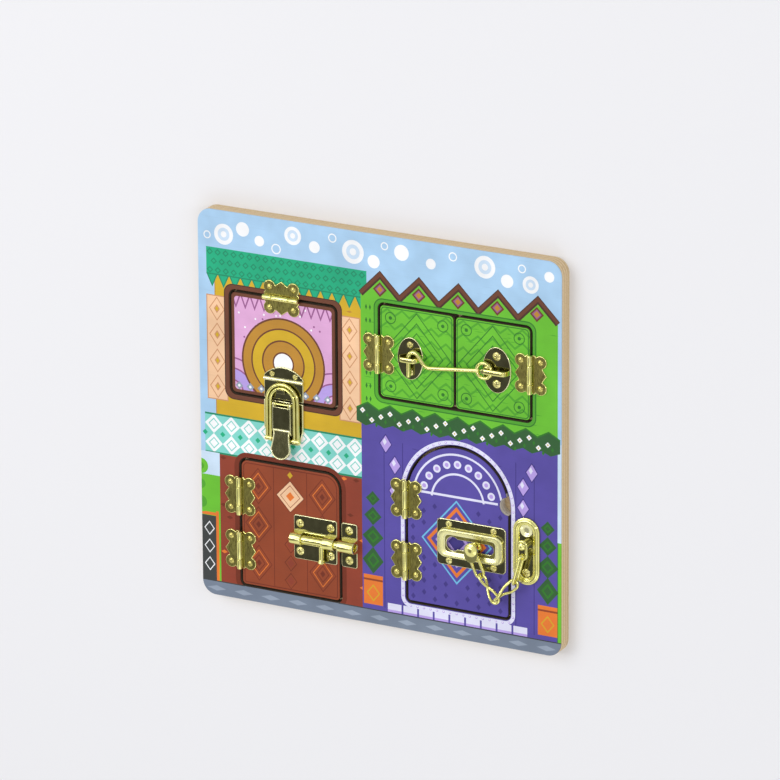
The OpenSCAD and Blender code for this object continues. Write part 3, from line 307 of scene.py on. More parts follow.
def inside(points, loops):
    """Even-odd test of points against loops."""
    hit = np.zeros(len(points), bool)
    for loop in loops:
        x0, y0 = loop[:, 0], loop[:, 1]
        x1, y1 = np.roll(x0, -1), np.roll(y0, -1)
        px, py = points[:, :1], points[:, 1:]
        crosses = (y0 > py) != (y1 > py)
        with np.errstate(divide="ignore", invalid="ignore"):
            where = (x1 - x0) * (py - y0) / (y1 - y0) + x0
        hit ^= (np.sum(crosses & (px < where), 1) % 2).astype(bool)
    return hit


class Art:
    """Motifs in drawing order: a later one covers the earlier ones."""

    def __init__(self, ground, seed=0):
        self.ground, self.items, self.rng = ground, [], np.random.default_rng(seed)

    def add(self, key, *loops):
        self.items.append((key, [np.asarray(l, float) for l in loops]))

    def line(self, key, points, width, closed=False):
        self.add(key, *stroke(points, width, closed))

    def ring(self, key, x, y, r, width, n=36):
        self.line(key, circle(x, y, r, n), width, True)

    def diamonds(self, x, y, *parts):
        """Rhombi with one middle: key, width, height and, for an outline, the line's width."""
        for key, w, h, *line in parts:
            if line:
                self.line(key, rhombus(x, y, w, h), *line, True)
            else:
                self.add(key, rhombus(x, y, w, h))

    def discs(self, x, y, *parts):
        """Discs with one middle: key, radius and the number of sides where it isn't circle's own."""
        for key, r, *sides in parts:
            self.add(key, circle(x, y, r, *sides))


# ---- Solids ----

EASE = 0.5  # radius of the eased top edge of every printed board
RIM = 0.45  # rounding of a plate's edge
PLATE_T = 1  # thickness of every plate
SMALL_EASE = 0.3  # an edge rounded by no more than this takes fewer steps
MERGED = 1e-4  # points of the motifs nearer than this are one
CREASE, FLAT_CREASE = 0.6, 0.04  # angles in radians that stay sharp between faces, and beside a flat one
UP = (0, 0, 1)


class Solid:
    """Closed shells of one piece, in millimetres in the frame self.at."""

    def __init__(self, name, frame_at=Matrix.Identity(4)):
        self.name, self.at, self.shell = name, frame_at, 0
        self.index, self.points, self.faces, self.keys, self.flats = {}, [], [], [], []

    def vertex(self, p):
        q = self.at @ Vector(map(float, p))
        key = (self.shell, round(q.x, 4), round(q.y, 4), round(q.z, 4))
        if key not in self.index:
            self.index[key] = len(self.points)
            self.points.append(q * MM)
        return self.index[key]

    def face(self, points, key, flat=False):
        ids = [self.vertex(p) for p in points]
        ids = [v for i, v in enumerate(ids) if v != ids[i - 1]]
        if len(set(ids)) == len(ids) > 2:
            self.faces.append(ids)
            self.keys.append(key)
            self.flats.append(flat)

    def loft(self, rows, key, closed=False):
        """Skin over rows of as many points each, every row a ring. closed joins the last row to the first."""
        pairs = list(zip(rows, rows[1:] + rows[:1])) if closed else list(zip(rows, rows[1:]))
        for r, (a, b) in enumerate(pairs):
            for i in range(len(a)):
                j = (i + 1) % len(a)
                self.face((a[i], a[j], b[j], b[i]), key[r] if isinstance(key, list) else key)
        if not closed:
            for row in (rows[0], rows[-1]):
                self.face(row, key, True)

    def revolve(self, profile, key, sides=32, closed=False):
        """profile is (radius, height) pairs about local Z."""
        a = np.radians(np.arange(sides) * 360 / sides)
        ring = list(zip(np.cos(a), np.sin(a)))
        self.shell += 1
        self.loft([[(r * c, r * s, h) for c, s in ring] for r, h in profile], key, closed)

    def tube(self, path, radius, key, sides=20, closed=False, ups=None, flat=1.0):
        """Wire along path, round or flattened along ups. Open ends are domed."""
        path = [Vector(map(float, p)) for p in path]
        radii = [radius] * len(path)
        ups = [UP] * len(path) if ups is None else list(ups)
        if not closed:
            # How far out and how wide a dome's rings are, as shares of the radius
            out, wide = (0.5, 0.87, 1.0), (0.87, 0.5, 0.0)
            t0, t1 = (path[0] - path[1]).normalized(), (path[-1] - path[-2]).normalized()
            path = [path[0] + t0 * radius * f for f in out[::-1]] + path
            path += [path[-1] + t1 * radius * f for f in out]
            radii = [radius * f for f in wide[::-1]] + radii + [radius * f for f in wide]
            ups = [ups[0]] * len(out) + ups + [ups[-1]] * len(out)
        n = len(path)
        rows = []
        for i in range(n):
            a = path[i - 1] if closed or i else path[i]
            b = path[(i + 1) % n] if closed or i < n - 1 else path[i]
            t = (b - a).normalized()
            side = t.cross(Vector(ups[i])).normalized()
            up = side.cross(t)
            rows.append([path[i] + radii[i] * (side * math.cos(q) + up * flat * math.sin(q))
                         for q in np.radians(np.arange(sides) * 360 / sides)])
        self.shell += 1
        self.loft(rows, key, closed)

    def slab(self, adds, cuts, z0, z1, ease, top, side, rim=None, art=None, cut_side=None):
        """Plate whose flat top is the union of adds less cuts. Its edge is rounded outwards by ease.
        rim colours the rounding, which otherwise follows the motifs of art."""
        self.shell += 1
        verts, edges = [], []
        for loop in adds + cuts + ([l for _, ls in art.items for l in ls] if art else []):
            k = len(verts)
            verts += [Vector(map(float, v)) for v in loop]
            edges += [(k + i, k + (i + 1) % len(loop)) for i in range(len(loop))]
        v, _, tris, *_ = delaunay_2d_cdt(verts, edges, [], 0, MERGED)
        flat, tris = np.array([(p.x, p.y) for p in v]), np.array([list(t) for t in tris])
        mid = flat[tris].mean(1)
        keep = np.any([inside(mid, [l]) for l in adds], 0)
        for l in cuts:
            keep &= ~inside(mid, [l])
        tris, mid = tris[keep], mid[keep]
        a, b, c = (flat[tris[:, i]] for i in range(3))
        area = (b[:, 0] - a[:, 0]) * (c[:, 1] - a[:, 1]) - (b[:, 1] - a[:, 1]) * (c[:, 0] - a[:, 0])
        tris[area < 0] = tris[area < 0][:, ::-1]
        keys = np.array([top] * len(tris), dtype=object)
        for key, ls in (art.items if art else []):
            lo, hi = np.min([l.min(0) for l in ls], 0), np.max([l.max(0) for l in ls], 0)
            near = np.where(np.all((mid >= lo) & (mid <= hi), 1))[0]
            if len(near):
                keys[near[inside(mid[near], ls)]] = key
        # Edges that only one triangle has, in the direction in which it has them
        has = {(t[j], t[(j + 1) % 3]): i for i, t in enumerate(tris) for j in range(3)}
        after = {e[0]: (e[1], i) for e, i in has.items() if (e[1], e[0]) not in has}
        low = flat.copy()
        steps = 3 if ease > SMALL_EASE else 2
        outer = min(after, key=lambda i: flat[i][0])
        while after:
            here = start = outer if outer in after else min(after)
            ring, owner = [], []
            while not ring or here != start:
                ring.append(here)
                here, tri = after.pop(here)
                owner.append(tri)
            m = outward(flat[ring])
            rows = [[(*q, z1) for q in flat[ring]]]
            for k in range(1, steps + 1):
                g = math.pi / 2 * k / steps
                z = z1 - ease * (1 - math.cos(g))
                rows.append([(*q, z) for q in flat[ring] + m * ease * math.sin(g)])
            low[ring] = flat[ring] + m * ease
            rows.append([(*q, z0) for q in low[ring]])
            wall = cut_side if cut_side and start != outer else side
            walls = [wall(q) if callable(wall) else wall for q in flat[ring]]
            for r, (upper, lower) in enumerate(zip(rows, rows[1:])):
                for i in range(len(ring)):
                    j = (i + 1) % len(ring)
                    self.face((upper[j], upper[i], lower[i], lower[j]),
                              walls[i] if r == steps else rim or keys[owner[i]])
        for t, key in zip(tris, keys):
            self.face([(*flat[i], z1) for i in t], key, True)
            self.face([(*low[i], z0) for i in t[::-1]], "wood" if callable(side) else side, True)

    def plate(self, outline, cuts=(), ease=RIM):
        """Pressed plate in plate brass, painted darker as a dark reflection, with a pale rim painted as a
        highlight; outline lies inside its edge by ease.
        """
        self.slab([outline], list(cuts), 0, PLATE_T, ease, "plate", "rim", "rim")

    def make(self, node, body):
        """Builds the piece, which stands for the CAD node."""
        me = bpy.data.meshes.new(self.name)
        me.from_pydata(self.points, [], self.faces)
        names = sorted(set(self.keys))
        for key in names:
            me.materials.append(finish_of(key))
        bm = bmesh.new()
        bm.from_mesh(me)
        bm.faces.ensure_lookup_table()
        for f, key in zip(bm.faces, self.keys):
            f.material_index, f.smooth = names.index(key), True
        bmesh.ops.recalc_face_normals(bm, faces=bm.faces)
        for e in bm.edges:
            angle = e.calc_face_angle(0.0)
            flat = any(self.flats[f.index] for f in e.link_faces)
            e.smooth = not (angle > CREASE or (flat and angle > FLAT_CREASE))
        bm.to_mesh(me)
        bm.free()
        o = bpy.data.objects.new(self.name, me)
        bpy.context.scene.collection.objects.link(o)
        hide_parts(node)
        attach(o, body)


# ---- Board and doors: the sizes of the CAD, in millimetres ----

BOARD, BOARD_R, GAP = 300, 11, 2.2
FACE_Z, PANEL_Z, DOOR_Z = 12, 3, 3.3  # printed face, and the undersides of the panel and the doors
# Middle, width, height and corner radii
WINDOW, WINDOW_R = (-79, 50.45, 86.8, 76.9), (3.5,) * 4
RED, RED_R = (-74.45, -88.5, 82.1, 97), (11, 5, 3, 3)
GARAGE_X, GARAGE_Y, GARAGE_W, GARAGE_H, GARAGE_R = 63.2, 62.3, 60, 69.4, (3,) * 4
ARCH_X, ARCH_Y, ARCH_W, ARCH_LEG, ARCH_R = 65.35, -44.4, 82.5, 82, 2.4
NOTCH_RISE, NOTCH_R = 3.4, 7
NOTCH = (ARCH_X + ARCH_W / 2, ARCH_Y + NOTCH_RISE)


def door_rim(x, y, w, h, radii, grow):
    return rounded(x, y, w + 2 * grow, h + 2 * grow, [r + grow for r in radii])


def garage_middle(side):
    return GARAGE_X + side * (GAP + GARAGE_W) / 2


def arch(grow):
    """Round-topped outline, grown by grow, anticlockwise from the right foot."""
    r, foot = ARCH_W / 2 + grow, ARCH_R + grow
    low = ARCH_Y - ARCH_LEG - grow
    pts = arc((ARCH_X, ARCH_Y), r, degrees(0, 180, 61))
    for cx, a0 in ((ARCH_X - r + foot, 180), (ARCH_X + r - foot, 270)):
        pts += arc((cx, low + foot), foot, np.radians(a0 + np.linspace(0, 90, 7)))
    return np.array(pts)


def arch_door(inset):
    """The arched door's outline with its finger notch, inset by inset."""
    r, nr = ARCH_W / 2 - inset, NOTCH_R + inset
    nx, ny = NOTCH
    # Upper meeting point of the arch and the notch
    dx, dy = nx - ARCH_X, ny - ARCH_Y
    d = math.hypot(dx, dy)
    a = (r * r - nr * nr + d * d) / (2 * d)
    h = math.sqrt(r * r - a * a)
    hit = (ARCH_X + (a * dx - h * dy) / d, ARCH_Y + (a * dy + h * dx) / d)
    # Lower one, on the straight leg
    low_y = ny - math.sqrt(nr * nr - (nx - (ARCH_X + r)) ** 2)
    high_a = math.degrees(math.atan2(hit[1] - ny, hit[0] - nx))
    low_a = math.degrees(math.atan2(low_y - ny, ARCH_X + r - nx))
    # Points of the outline to the left of the notch and clear of it
    margin, middle = 0.8, ARCH_X + 20
    keep = [p for p in arch(-inset)
            if not (p[0] > ARCH_X and math.hypot(p[0] - nx, p[1] - ny) < nr + margin)
            and not (low_y < p[1] < ny and p[0] > middle)]
    first = next(i for i, p in enumerate(keep) if p[1] > ny)
    return np.array(keep[first:] + keep[:first] + arc(NOTCH, nr, degrees(low_a % 360, high_a % 360, 19)))


# ---- Artwork: a geometric pattern of the board's own ----

BLEED = 151  # fields at the board's edge run 1 mm past it
FOOT_Y = -139  # top of the slate foot
SEAM_X, RIGHT_X = -14, 147  # ends of the fields on the right
STRIP_X = -134  # inner edge of the strip at the board's left
# Fields: x0, y0, x1, y1
AMBER = (-136, -10, SEAM_X, 100)
FRIEZE = (-143, 100, -9, 121)
HARLEQUIN = (-146, -38, -12, -8)
BRICK = (STRIP_X, FOOT_Y, SEAM_X, -38.7)
VIOLET = (SEAM_X, FOOT_Y, RIGHT_X, 13)


def zigzag(x0, x1, low, high, peaks):
    n = 2 * peaks
    return [[x0 + (x1 - x0) * i / n, high if i % 2 else low] for i in range(n + 1)]


def teeth(art, middles, base, *parts):
    """Triangles on a level base: key, half of the width and tip."""
    for x in middles:
        for key, half, tip in parts:
            art.add(key, [[x - half, base], [x + half, base], [x, tip]])


def sky(art):
    big = 6  # a disc above this radius has two more in it
    for x, y, r in ((-128, 132, 8), (-112, 138, 5.5), (-98, 131, 4), (-70, 139, 7), (-52, 133, 4.5),
                    (-20, 134, 9), (-3, 129, 5), (20, 139, 6), (44, 134, 4), (88, 138, 8.5), (106, 130, 5),
                    (125, 130, 6.5), (140, 138, 4)):
        art.discs(x, y, ("white", r))
        if r > big:
            art.discs(x, y, ("sky_pale", r * 0.62), ("white", r * 0.3))
    for x, y, r in ((-84, 127, 3.5), (-37, 142, 3), (6, 142, 2.6), (62, 142, 3), (118, 141, 2.8),
                    (-142, 130, 2.6)):
        art.ring("white", x, y, r, 0.9)


def amber_field(art):
    """Flecked field behind the window."""
    x0, y0, x1, y1 = AMBER
    uniform = art.rng.uniform
    art.add("amber", rect(*AMBER))
    art.line("ochre", [[x0, y0], [x0, y1]], 0.8)
    for i in range(46):
        x, y = uniform(x0 + 3, x1 - 3), uniform(y0 + 4, y1 - 2)
        art.diamonds(x, y, ("ochre" if i % 3 else "orange", uniform(3.5, 6), uniform(1.6, 2.6)))


def frieze(art):
    """Teal band of scales, with teeth along its foot."""
    x0, y0, x1, _ = FRIEZE
    pitch, scale_h = 6.7, 5.2
    art.add("teal", rect(*FRIEZE))
    for row, y in enumerate((117.4, 110.5, 103.6)):
        for i in range(20):
            x = x0 + 3 + pitch * (i + (0.5 if row % 2 else 0))
            if x < x1 - 2:
                art.diamonds(x, y, ("teal_dark", 5.4, scale_h), ("teal", 3.2, scale_h * 0.55))
    base, tooth_w = y0 + 0.4, 9.571
    teeth(art, [x0 + tooth_w * (i + 0.5) for i in range(14)], base,
          ("teal_dark", 4.79, 90.5), ("teal", 3.6, 92.6))
    art.line("teal_dark", [[x0, base], [x1, base]], 1.0)


def window_surround(art):
    """Peach columns beside the window, and its brown frame."""
    x, y, w, h = WINDOW
    half_w, low, high = 8.4, 4, 84
    for side in (-1, 1):
        cx = x + side * 55.6
        column = rect(cx - half_w, low, cx + half_w, high)
        art.add("peach", column)
        art.line("peach_dark", column, 0.8, True)
        for k in range(4):
            art.diamonds(cx, low + 10 + 20 * k,
                         ("peach_dark", 12.5, 17.5, 0.7), ("peach_dark", 5, 7), ("amber", 3, 4.2))
    art.add("brown", rounded(x, y, w + 11.8, h + 11.8, [7] * 4))
    art.line("brown_dark", rounded(x, y, w + 11.4, h + 11.4, [7] * 4), 0.8, True)


def harlequin(art):
    """Two rows of white rhombi on mint, with small teal ones between them."""
    x0, y0, x1, y1 = HARLEQUIN
    pitch, height = 14.9, 15
    art.add("mint", rect(*HARLEQUIN))
    for y in (y1 - height / 2, y0 + height / 2):
        for i in range(9):
            art.diamonds(x0 + 7.4 + pitch * i, y, ("white", pitch, height), ("mint", 8, 8, 0.8))
    for i in range(10):
        art.diamonds(x0 + pitch * i, (y0 + y1) / 2, ("teal", 4.4, 4.4))
    for y in (y1, y0):
        art.line("teal_dark", [[x0, y], [x1, y]], 1.4)


def green_field(art):
    """Flecked field behind the garage doors, under a brown zigzag with rhombi."""
    low, high, top, peaks = 12, 103, 119, 5
    uniform = art.rng.uniform
    edge = zigzag(SEAM_X, RIGHT_X, high, top, peaks)
    art.add("green", edge + [[RIGHT_X, high], [RIGHT_X, low], [SEAM_X, low]])
    for _ in range(60):
        x, y = uniform(SEAM_X + 3, RIGHT_X - 3), uniform(low + 2, high - 3)
        art.diamonds(x, y, ("green_mid", uniform(5, 9), 0.7))
    art.line("brown_dark", [[x, y + 0.6] for x, y in edge], 4.8)
    art.line("brown", [[x, y + 1.2] for x, y in edge], 2.6)
    for i in range(peaks):
        art.diamonds(2 + 32 * i, high + 5.6,
                     ("plum", 8.6, 8.6), ("ochre", 5.2, 5.2), ("brown", 9.6, 9.6, 1.3))
    surround = rounded(GARAGE_X, GARAGE_Y, 132, 79, [7] * 4)
    art.add("green_mid", surround)
    art.line("green_line", surround, 0.8, True)
    for y in range(24, 95, 10):
        for x in (-9.5, -6.3):
            art.diamonds(x, y, ("green_line", 1.8, 4.6))


def brick_field(art):
    """Field of bricks behind the red door."""
    x0, y0, _, _ = BRICK
    pitch_x, pitch_y = 10.2, 9.2
    drawn, dark = 0.42, 0.30  # shares of the bricks that are drawn, and drawn dark
    art.add("brick", rect(*BRICK))
    for i in range(12):
        for j in range(11):
            x = x0 + 3 + pitch_x * i + (pitch_x / 2 if j % 2 else 0)
            pick = art.rng.random()
            if pick < drawn:
                art.diamonds(x, y0 + 6 + pitch_y * j, ("red_dark" if pick < dark else "orange", 5.6, 3.0))
    art.add("red_dark", door_rim(*RED, RED_R, 6))


def left_strip(art):
    """Charcoal panel, discs and sky at the board's left edge."""
    art.add("green", rect(-BLEED, FOOT_Y, STRIP_X, -56))
    art.add("sky_pale", rect(-BLEED, -56, STRIP_X, -38))
    art.add("charcoal", rect(-BLEED, FOOT_Y, -137.5, -88))
    for k in range(3):
        art.diamonds(-143.5, -98 - 14 * k, ("white", 8, 10, 0.7))
    art.line("orange", [[-136.6, FOOT_Y], [-136.6, -84]], 2.4)
    art.line("orange", [[-150, -86.5], [-135.5, -86.5]], 2.4)
    for k in range(3):
        art.discs(-150, -78 + 14 * k, ("green", 8 - k), ("green_mid", 4.6 - k))


def violet_field(art):
    """Field behind the arched door, with a lavender line and small discs round the arch."""
    art.add("violet", rect(*VIOLET))
    for x in (4.6, 20, 113, 128):
        art.line("violet_dark", [[x, -136], [x, -6]], 0.7)
    for k in range(8):
        y = -9 - 0.3 * k
        art.line("violet_dark", [[28 + 3 * k, y], [31 + 10 * k, y]], 0.5)
    rim = arch(4.3)
    closed = np.vstack([rim, rim[:1]])
    length = np.r_[0, np.cumsum(np.hypot(*np.diff(closed, axis=0).T))]
    art.line("lavender", rim, 3.0, True)
    pearls = 74
    for s in np.arange(pearls) / pearls * length[-1]:
        x, y = (np.interp(s, length, closed[:, axis]) for axis in (0, 1))
        art.discs(x, y, ("lilac", 0.95, 12))
        art.discs(x - 0.1, y + 0.2, ("white", 0.5, 8))


def violet_trim(art):
    """Lilac rhombi round the arch, a row of steps under it and the strip at the board's right edge."""
    for x, y in ((13.5, -24), (119, -24), (13.5, -44), (119, -40), (6, -8.6), (126, -12)):
        art.diamonds(x, y, ("lilac", 9, 13))
        art.diamonds(x - 0.8, y + 1.6, ("lavender", 3.4, 5.6))
        art.diamonds(x, y, ("violet_dark", 10, 14.4, 0.7))
    pitch, width, high, middle, low = 13, 11.4, -131.6, -136.6, -138.4
    for k in range(9):
        x = 7 + pitch * k
        art.add("lavender", rect(x, middle, x + width, high))
        art.add("lilac", rect(x, low, x + width, middle))
    grass = -62
    art.add("sky_pale", rect(RIGHT_X, grass, BLEED, VIOLET[3]))
    art.add("green", rect(RIGHT_X, FOOT_Y, BLEED, grass))
    art.line("green_line", [[RIGHT_X + 0.2, FOOT_Y], [RIGHT_X + 0.2, grass]], 0.6)


def hedge(art):
    """Dark green band with white diamonds where the green and violet fields meet."""
    x0, x1 = -18, 149
    top = zigzag(x0, x1, 16, 21, 9)
    art.add("leaf", top + zigzag(x0, x1, 6, 3, 11)[::-1])
    art.line("green_line", top, 1.2)
    for i in range(21):
        x, y = x0 + 5 + 7.6 * i, (14.6, 8.0, 11.4)[i % 3]
        art.diamonds(x, y, ("white", 4.4, 4.4), ("amber", 1.5, 1.5))
        art.diamonds(x + 3.8, y - 3.4, ("green_line", 2.4, 3.6))


def margins(art):
    """Stacks of dark green rhombi over orange squares, left and right of the arch."""
    low, widest = -122, 17.6
    for x in (-5, 139):
        for rise, size in ((21.5, 21), (40, 17.5), (56, 14.5), (69.5, 11.5)):
            for part, key in ((1, "leaf"), (0.58, "green_line"), (0.36, "leaf")):
                art.diamonds(x, low + rise, (key, part * min(size, widest), part * size))
        art.add("orange", rect(x - 8, low - 13, x + 8, low + 10))
        art.add("red", rect(x - 8, low + 5.5, x + 8, low + 7))
        art.diamonds(x, low - 4, ("amber", 10, 12, 0.8))


def slate_foot(art):
    art.add("slate", rect(-BLEED, -BLEED, BLEED, FOOT_Y))
    for k in range(13):
        art.diamonds(-138 + 23 * k, -144.6, ("slate_pale", 16, 4.2))
    art.line("charcoal", [[-BLEED, FOOT_Y], [BLEED, FOOT_Y]], 0.8)


def panel_art():
    art = Art("sky", 7)
    for draw in (sky, amber_field, frieze, window_surround, harlequin, green_field, brick_field, left_strip,
                 violet_field, violet_trim, hedge, margins, slate_foot):
        draw(art)
    return art


def window_art():
    """Nested discs over the flap's lower edge, teeth along its top and a brown frame."""
    cx, cy, w, h = WINDOW
    left, low = cx - w / 2, cy - h / 2
    art = Art("pink", 3)
    random = art.rng.random
    for i in range(24):
        x, y = left + 4 + random() * (w - 8), low + h * (0.45 + 0.5 * random())
        art.discs(x, y, ("plum" if i % 4 == 0 else "white", 0.8, 10))
    for side in (-1, 1):
        for r, key in ((27, "plum"), (25.8, "pink"), (19, "plum"), (17.8, "lilac"), (10, "plum"),
                       (8.8, "pink")):
            art.discs(cx + side * w / 2, low, (key, r, 48))
    for r, key in ((35, "brown"), (33.6, "ochre"), (27, "brown"), (25.8, "amber"), (18, "brown"),
                   (16.8, "ochre"), (9, "brown"), (7.8, "white")):
        art.discs(cx, low + h * 0.36, (key, r, 60))
    half, pitch, top = 3.95, 7.89, low + h - 2
    teeth(art, [left + half + pitch * i for i in range(11)], top,
          ("plum", half, low + h - 12), ("pink", 2.6, low + h - 9))
    for i in range(9):
        x, y = left + 6 + 9.3 * i, low + 5.6
        art.diamonds(x, y, ("slate_pale", 6.4, 6.4))
        art.discs(x, y, ("white", 1.1, 10))
    art.add("brown", rounded(cx, cy, w + 4, h + 4, [5] * 4), rounded(cx, cy, w - 5.2, h - 5.2, [2.4] * 4))
    return art


def garage_art(side):
    """Waves and flecks under nested rhombi, with a ring in each corner."""
    cx, low = garage_middle(side), GARAGE_Y - GARAGE_H / 2
    half = GARAGE_W / 2
    art = Art("green", 11 + side)
    uniform = art.rng.uniform
    for i in range(7):
        y = low + 10 * (i + 0.5)
        art.line("green_mid", zigzag(cx - half, cx + half, y - 2.4, y + 2.4, 5), 1.5)
    for _ in range(40):
        x, y = cx + uniform(3 - half, half - 3), low + uniform(3, 66)
        art.diamonds(x, y, ("green_mid", uniform(4, 9), 0.6))
    for w in (56, 43, 30, 17):
        art.diamonds(cx, GARAGE_Y, ("green_line", w, w * 1.15, 0.7))
    for sx in (-1, 1):
        for sy in (-1, 1):
            x, y = cx + sx * 21.5, GARAGE_Y + sy * 26
            art.ring("green_line", x, y, 4.2, 0.7, 24)
            art.discs(x, y, ("green_line", 1.4, 14))
    art.line("green_line", rounded(cx, GARAGE_Y, GARAGE_W - 2.2, GARAGE_H - 2.2, [2.6] * 4), 0.7, True)
    return art


def red_art():
    """Six nests of rhombi, a peach one at the top and small ones below it."""
    cx, cy, _, _ = RED
    art = Art("red")
    for side in (-1, 1):
        art.line("red_dark", [[cx + 14 * side, cy - 47], [cx + 14 * side, cy + 47]], 0.6)
    for x, y in ((-27, 30), (-27, 0), (-27, -30), (27, 30), (27, 2), (27, -30)):
        for s, key in ((22, "red_dark"), (16, "orange"), (10, "red_dark")):
            art.diamonds(cx + x, cy + y, (key, s, s * 1.25, 0.6))
        art.diamonds(cx + x, cy + y, ("red_dark", 4.4, 5.4))
    for s, key in ((24, "red_dark"), (22.6, "peach"), (17, "red"), (15.8, "peach"), (7, "orange")):
        art.diamonds(cx, cy + 26, (key, s, s * 1.05))
    art.diamonds(cx, cy + 42.6, ("amber", 4.6, 5.4))
    for k in range(3):
        art.diamonds(cx, cy - 12 - 14 * k, ("red_dark", 10, 12, 0.6), ("brick", 6, 7.4))
    art.line("red_dark", door_rim(*RED, RED_R, -1.8), 0.8, True)
    return art


def arch_art():
    """A fan of discs between two bows, over nested rhombi on a field of small ones."""
    art = Art("violet")
    cx, cy = ARCH_X - 1, ARCH_Y - 31
    for x, y in arc((ARCH_X, ARCH_Y), 29, [math.radians(18 + 18 * i) for i in range(9)]):
        art.discs(x, y, ("lavender", 3.1, 18), ("lilac", 1.6, 12))
    for r in (36.5, 21.5):
        art.line("lavender", arc((ARCH_X, ARCH_Y), r, degrees(6, 174, 40)), 1.6)
    for w, key in ((58, "blue"), (54.8, "violet"), (49, "orange"), (42.5, "violet"), (35, "lilac"),
                   (31, "violet"), (20, "lilac"), (14, "violet_dark")):
        art.diamonds(cx, cy, (key, w, w * 1.12))
    pitch, clear_w, clear_h = 9, 34, 38
    for i in range(9):
        for j in range(9):
            x, y = cx - 36 + pitch * i, ARCH_Y - 78 + pitch * j + (pitch / 2 if i % 2 else 0)
            if abs(x - cx) / clear_w + abs(y - cy) / clear_h > 1.0 and y < ARCH_Y - 2:
                art.diamonds(x, y, ("violet_dark", 3.8, 4.8))
    art.line("lavender", [[ARCH_X - 36, ARCH_Y + 4], [ARCH_X + 33, ARCH_Y + 4]], 1.8)
    return art


def door_wall(q):
    """Painted dark as shade in the narrow cut, and painted pale as light where the finger notch lets it in.
    """
    return "notch" if math.hypot(q[0] - NOTCH[0], q[1] - NOTCH[1]) < NOTCH_R + 0.7 else "sawn"


def board(name, art, outline, low, node, body, holes=()):
    s = Solid(name)
    wall = "wood" if holes else door_wall
    # Walls of the doorways in the dark sawn key: painted shade in the narrow gaps
    s.slab([outline], list(holes), low, FACE_Z, EASE, art.ground, wall, art=art, cut_side="sawn")
    s.make(node, body)


REACH = GAP + EASE  # from a door's edge to the flat face round its doorway
board("panel_board", panel_art(), rounded(0, 0, BOARD - 2 * EASE, BOARD - 2 * EASE, [BOARD_R - EASE] * 4, 12),
      PANEL_Z, "front_panel", "frame",
      [door_rim(*WINDOW, WINDOW_R, REACH),
       door_rim(GARAGE_X, GARAGE_Y, 2 * GARAGE_W + GAP, GARAGE_H, GARAGE_R, REACH),
       door_rim(*RED, RED_R, REACH), arch(REACH)])
board("window_board", window_art(), door_rim(*WINDOW, WINDOW_R, -EASE), DOOR_Z,
      "window_flap", "window_flap")
for side, word in ((-1, "left"), (1, "right")):
    board(f"garage_board_{word}", garage_art(side),
          door_rim(garage_middle(side), GARAGE_Y, GARAGE_W, GARAGE_H, GARAGE_R, -EASE), DOOR_Z,
          f"garage_door_{word}", f"garage_door_{word}")
board("red_board", red_art(), door_rim(*RED, RED_R, -EASE), DOOR_Z, "red_door", "red_door")
board("arched_board", arch_art(), arch_door(EASE), DOOR_Z, "arched_door", "arched_door")

# ---- Hardware: rounded rims and round wires in the places and sizes of the CAD, heights from the face ----


def at(x, y, z=0.0, spin=0.0):
    """Frame on the board's face, turned by spin degrees."""
    return Matrix.Translation((x, y, FACE_Z + z)) @ Matrix.Rotation(math.radians(spin), 4, "Z")


def moved(base, x=0.0, y=0.0, z=0.0):
    return base @ Matrix.Translation((x, y, z))


# A slab stood up: its x, y and thickness along Y, Z and X
ALONG_X = Matrix(((0, 0, 1, 0), (1, 0, 0, 0), (0, 1, 0, 0), (0, 0, 0, 1)))

# ---- Hinges ----

# Body of the door, and each hinge's place and turn
HINGES = {
    "window_hinge": ("window_flap", [(-79.6, 90.0, -90)]),
    "garage_left_hinge": ("garage_door_left", [(1.0, 60.0, 0)]),
    "garage_right_hinge": ("garage_door_right", [(125.4, 63.0, 180)]),
    "red_door_hinge": ("red_door", [(-116.6, -68.0, 0), (-116.6, -110.4, 0)]),
    "arched_door_hinge": ("arched_door", [(23.0, -48.0, 0), (23.0, -95.8, 0)]),
}
PIN_Z, BARREL_R, PIN_BORE = 2.35, 2.05, 1.0
DOOR_KNUCKLES, FRAME_KNUCKLES = [(-7.05, 7.05)], [(-14.6, -7.2), (7.2, 14.6)]
# Half of a leaf's outline, from the pin to its point, and its lobes
HALF_LEAF = [(2.0, 14.7), (2.8, 14.7), (4.6, 13.1), (7.9, 13.1), (9.7, 4.7), (12.9, 0)]
LEAF = [[u, -v] for u, v in HALF_LEAF] + [[u, v] for u, v in HALF_LEAF[-2::-1]]
LOBES = [circle(u, v, r - RIM, 40) for u, v, r in ((7.9, -9.9, 5), (7.9, 9.9, 5), (7.5, 0, 4.5))]
WEB = (1.35, 3.4)  # ends of the web between a knuckle and its leaf


def hinge_leaves(name, body, places, knuckles, spin, node):
    rounding = ((0.3, 0), (0.08, 0.1), (0, 0.35))  # in from the barrel's radius and from its end
    s = Solid(name)
    for x, y, turn in places:
        base = s.at = at(x, y, 0, turn + spin)
        webs = [rect(WEB[0], v0 + RIM, WEB[1], v1 - RIM) for v0, v1 in knuckles]
        # Painted highlight: the rounding in bright brass and the sides in rim brass, both paler than the
        # satin top
        s.slab([grown(LEAF, -RIM)] + LOBES + webs, [], 0, PLATE_T, RIM, "satin", "rim", "bright")
        s.at = moved(base, z=PIN_Z) @ Matrix.Rotation(-math.pi / 2, 4, "X")
        for v0, v1 in knuckles:
            s.revolve([(PIN_BORE, v0)] + [(BARREL_R - d, v0 + u) for d, u in rounding]
                      + [(BARREL_R - d, v1 - u) for d, u in rounding[::-1]] + [(PIN_BORE, v1)],
                      "bright", 40, True)
    s.make(node, body)


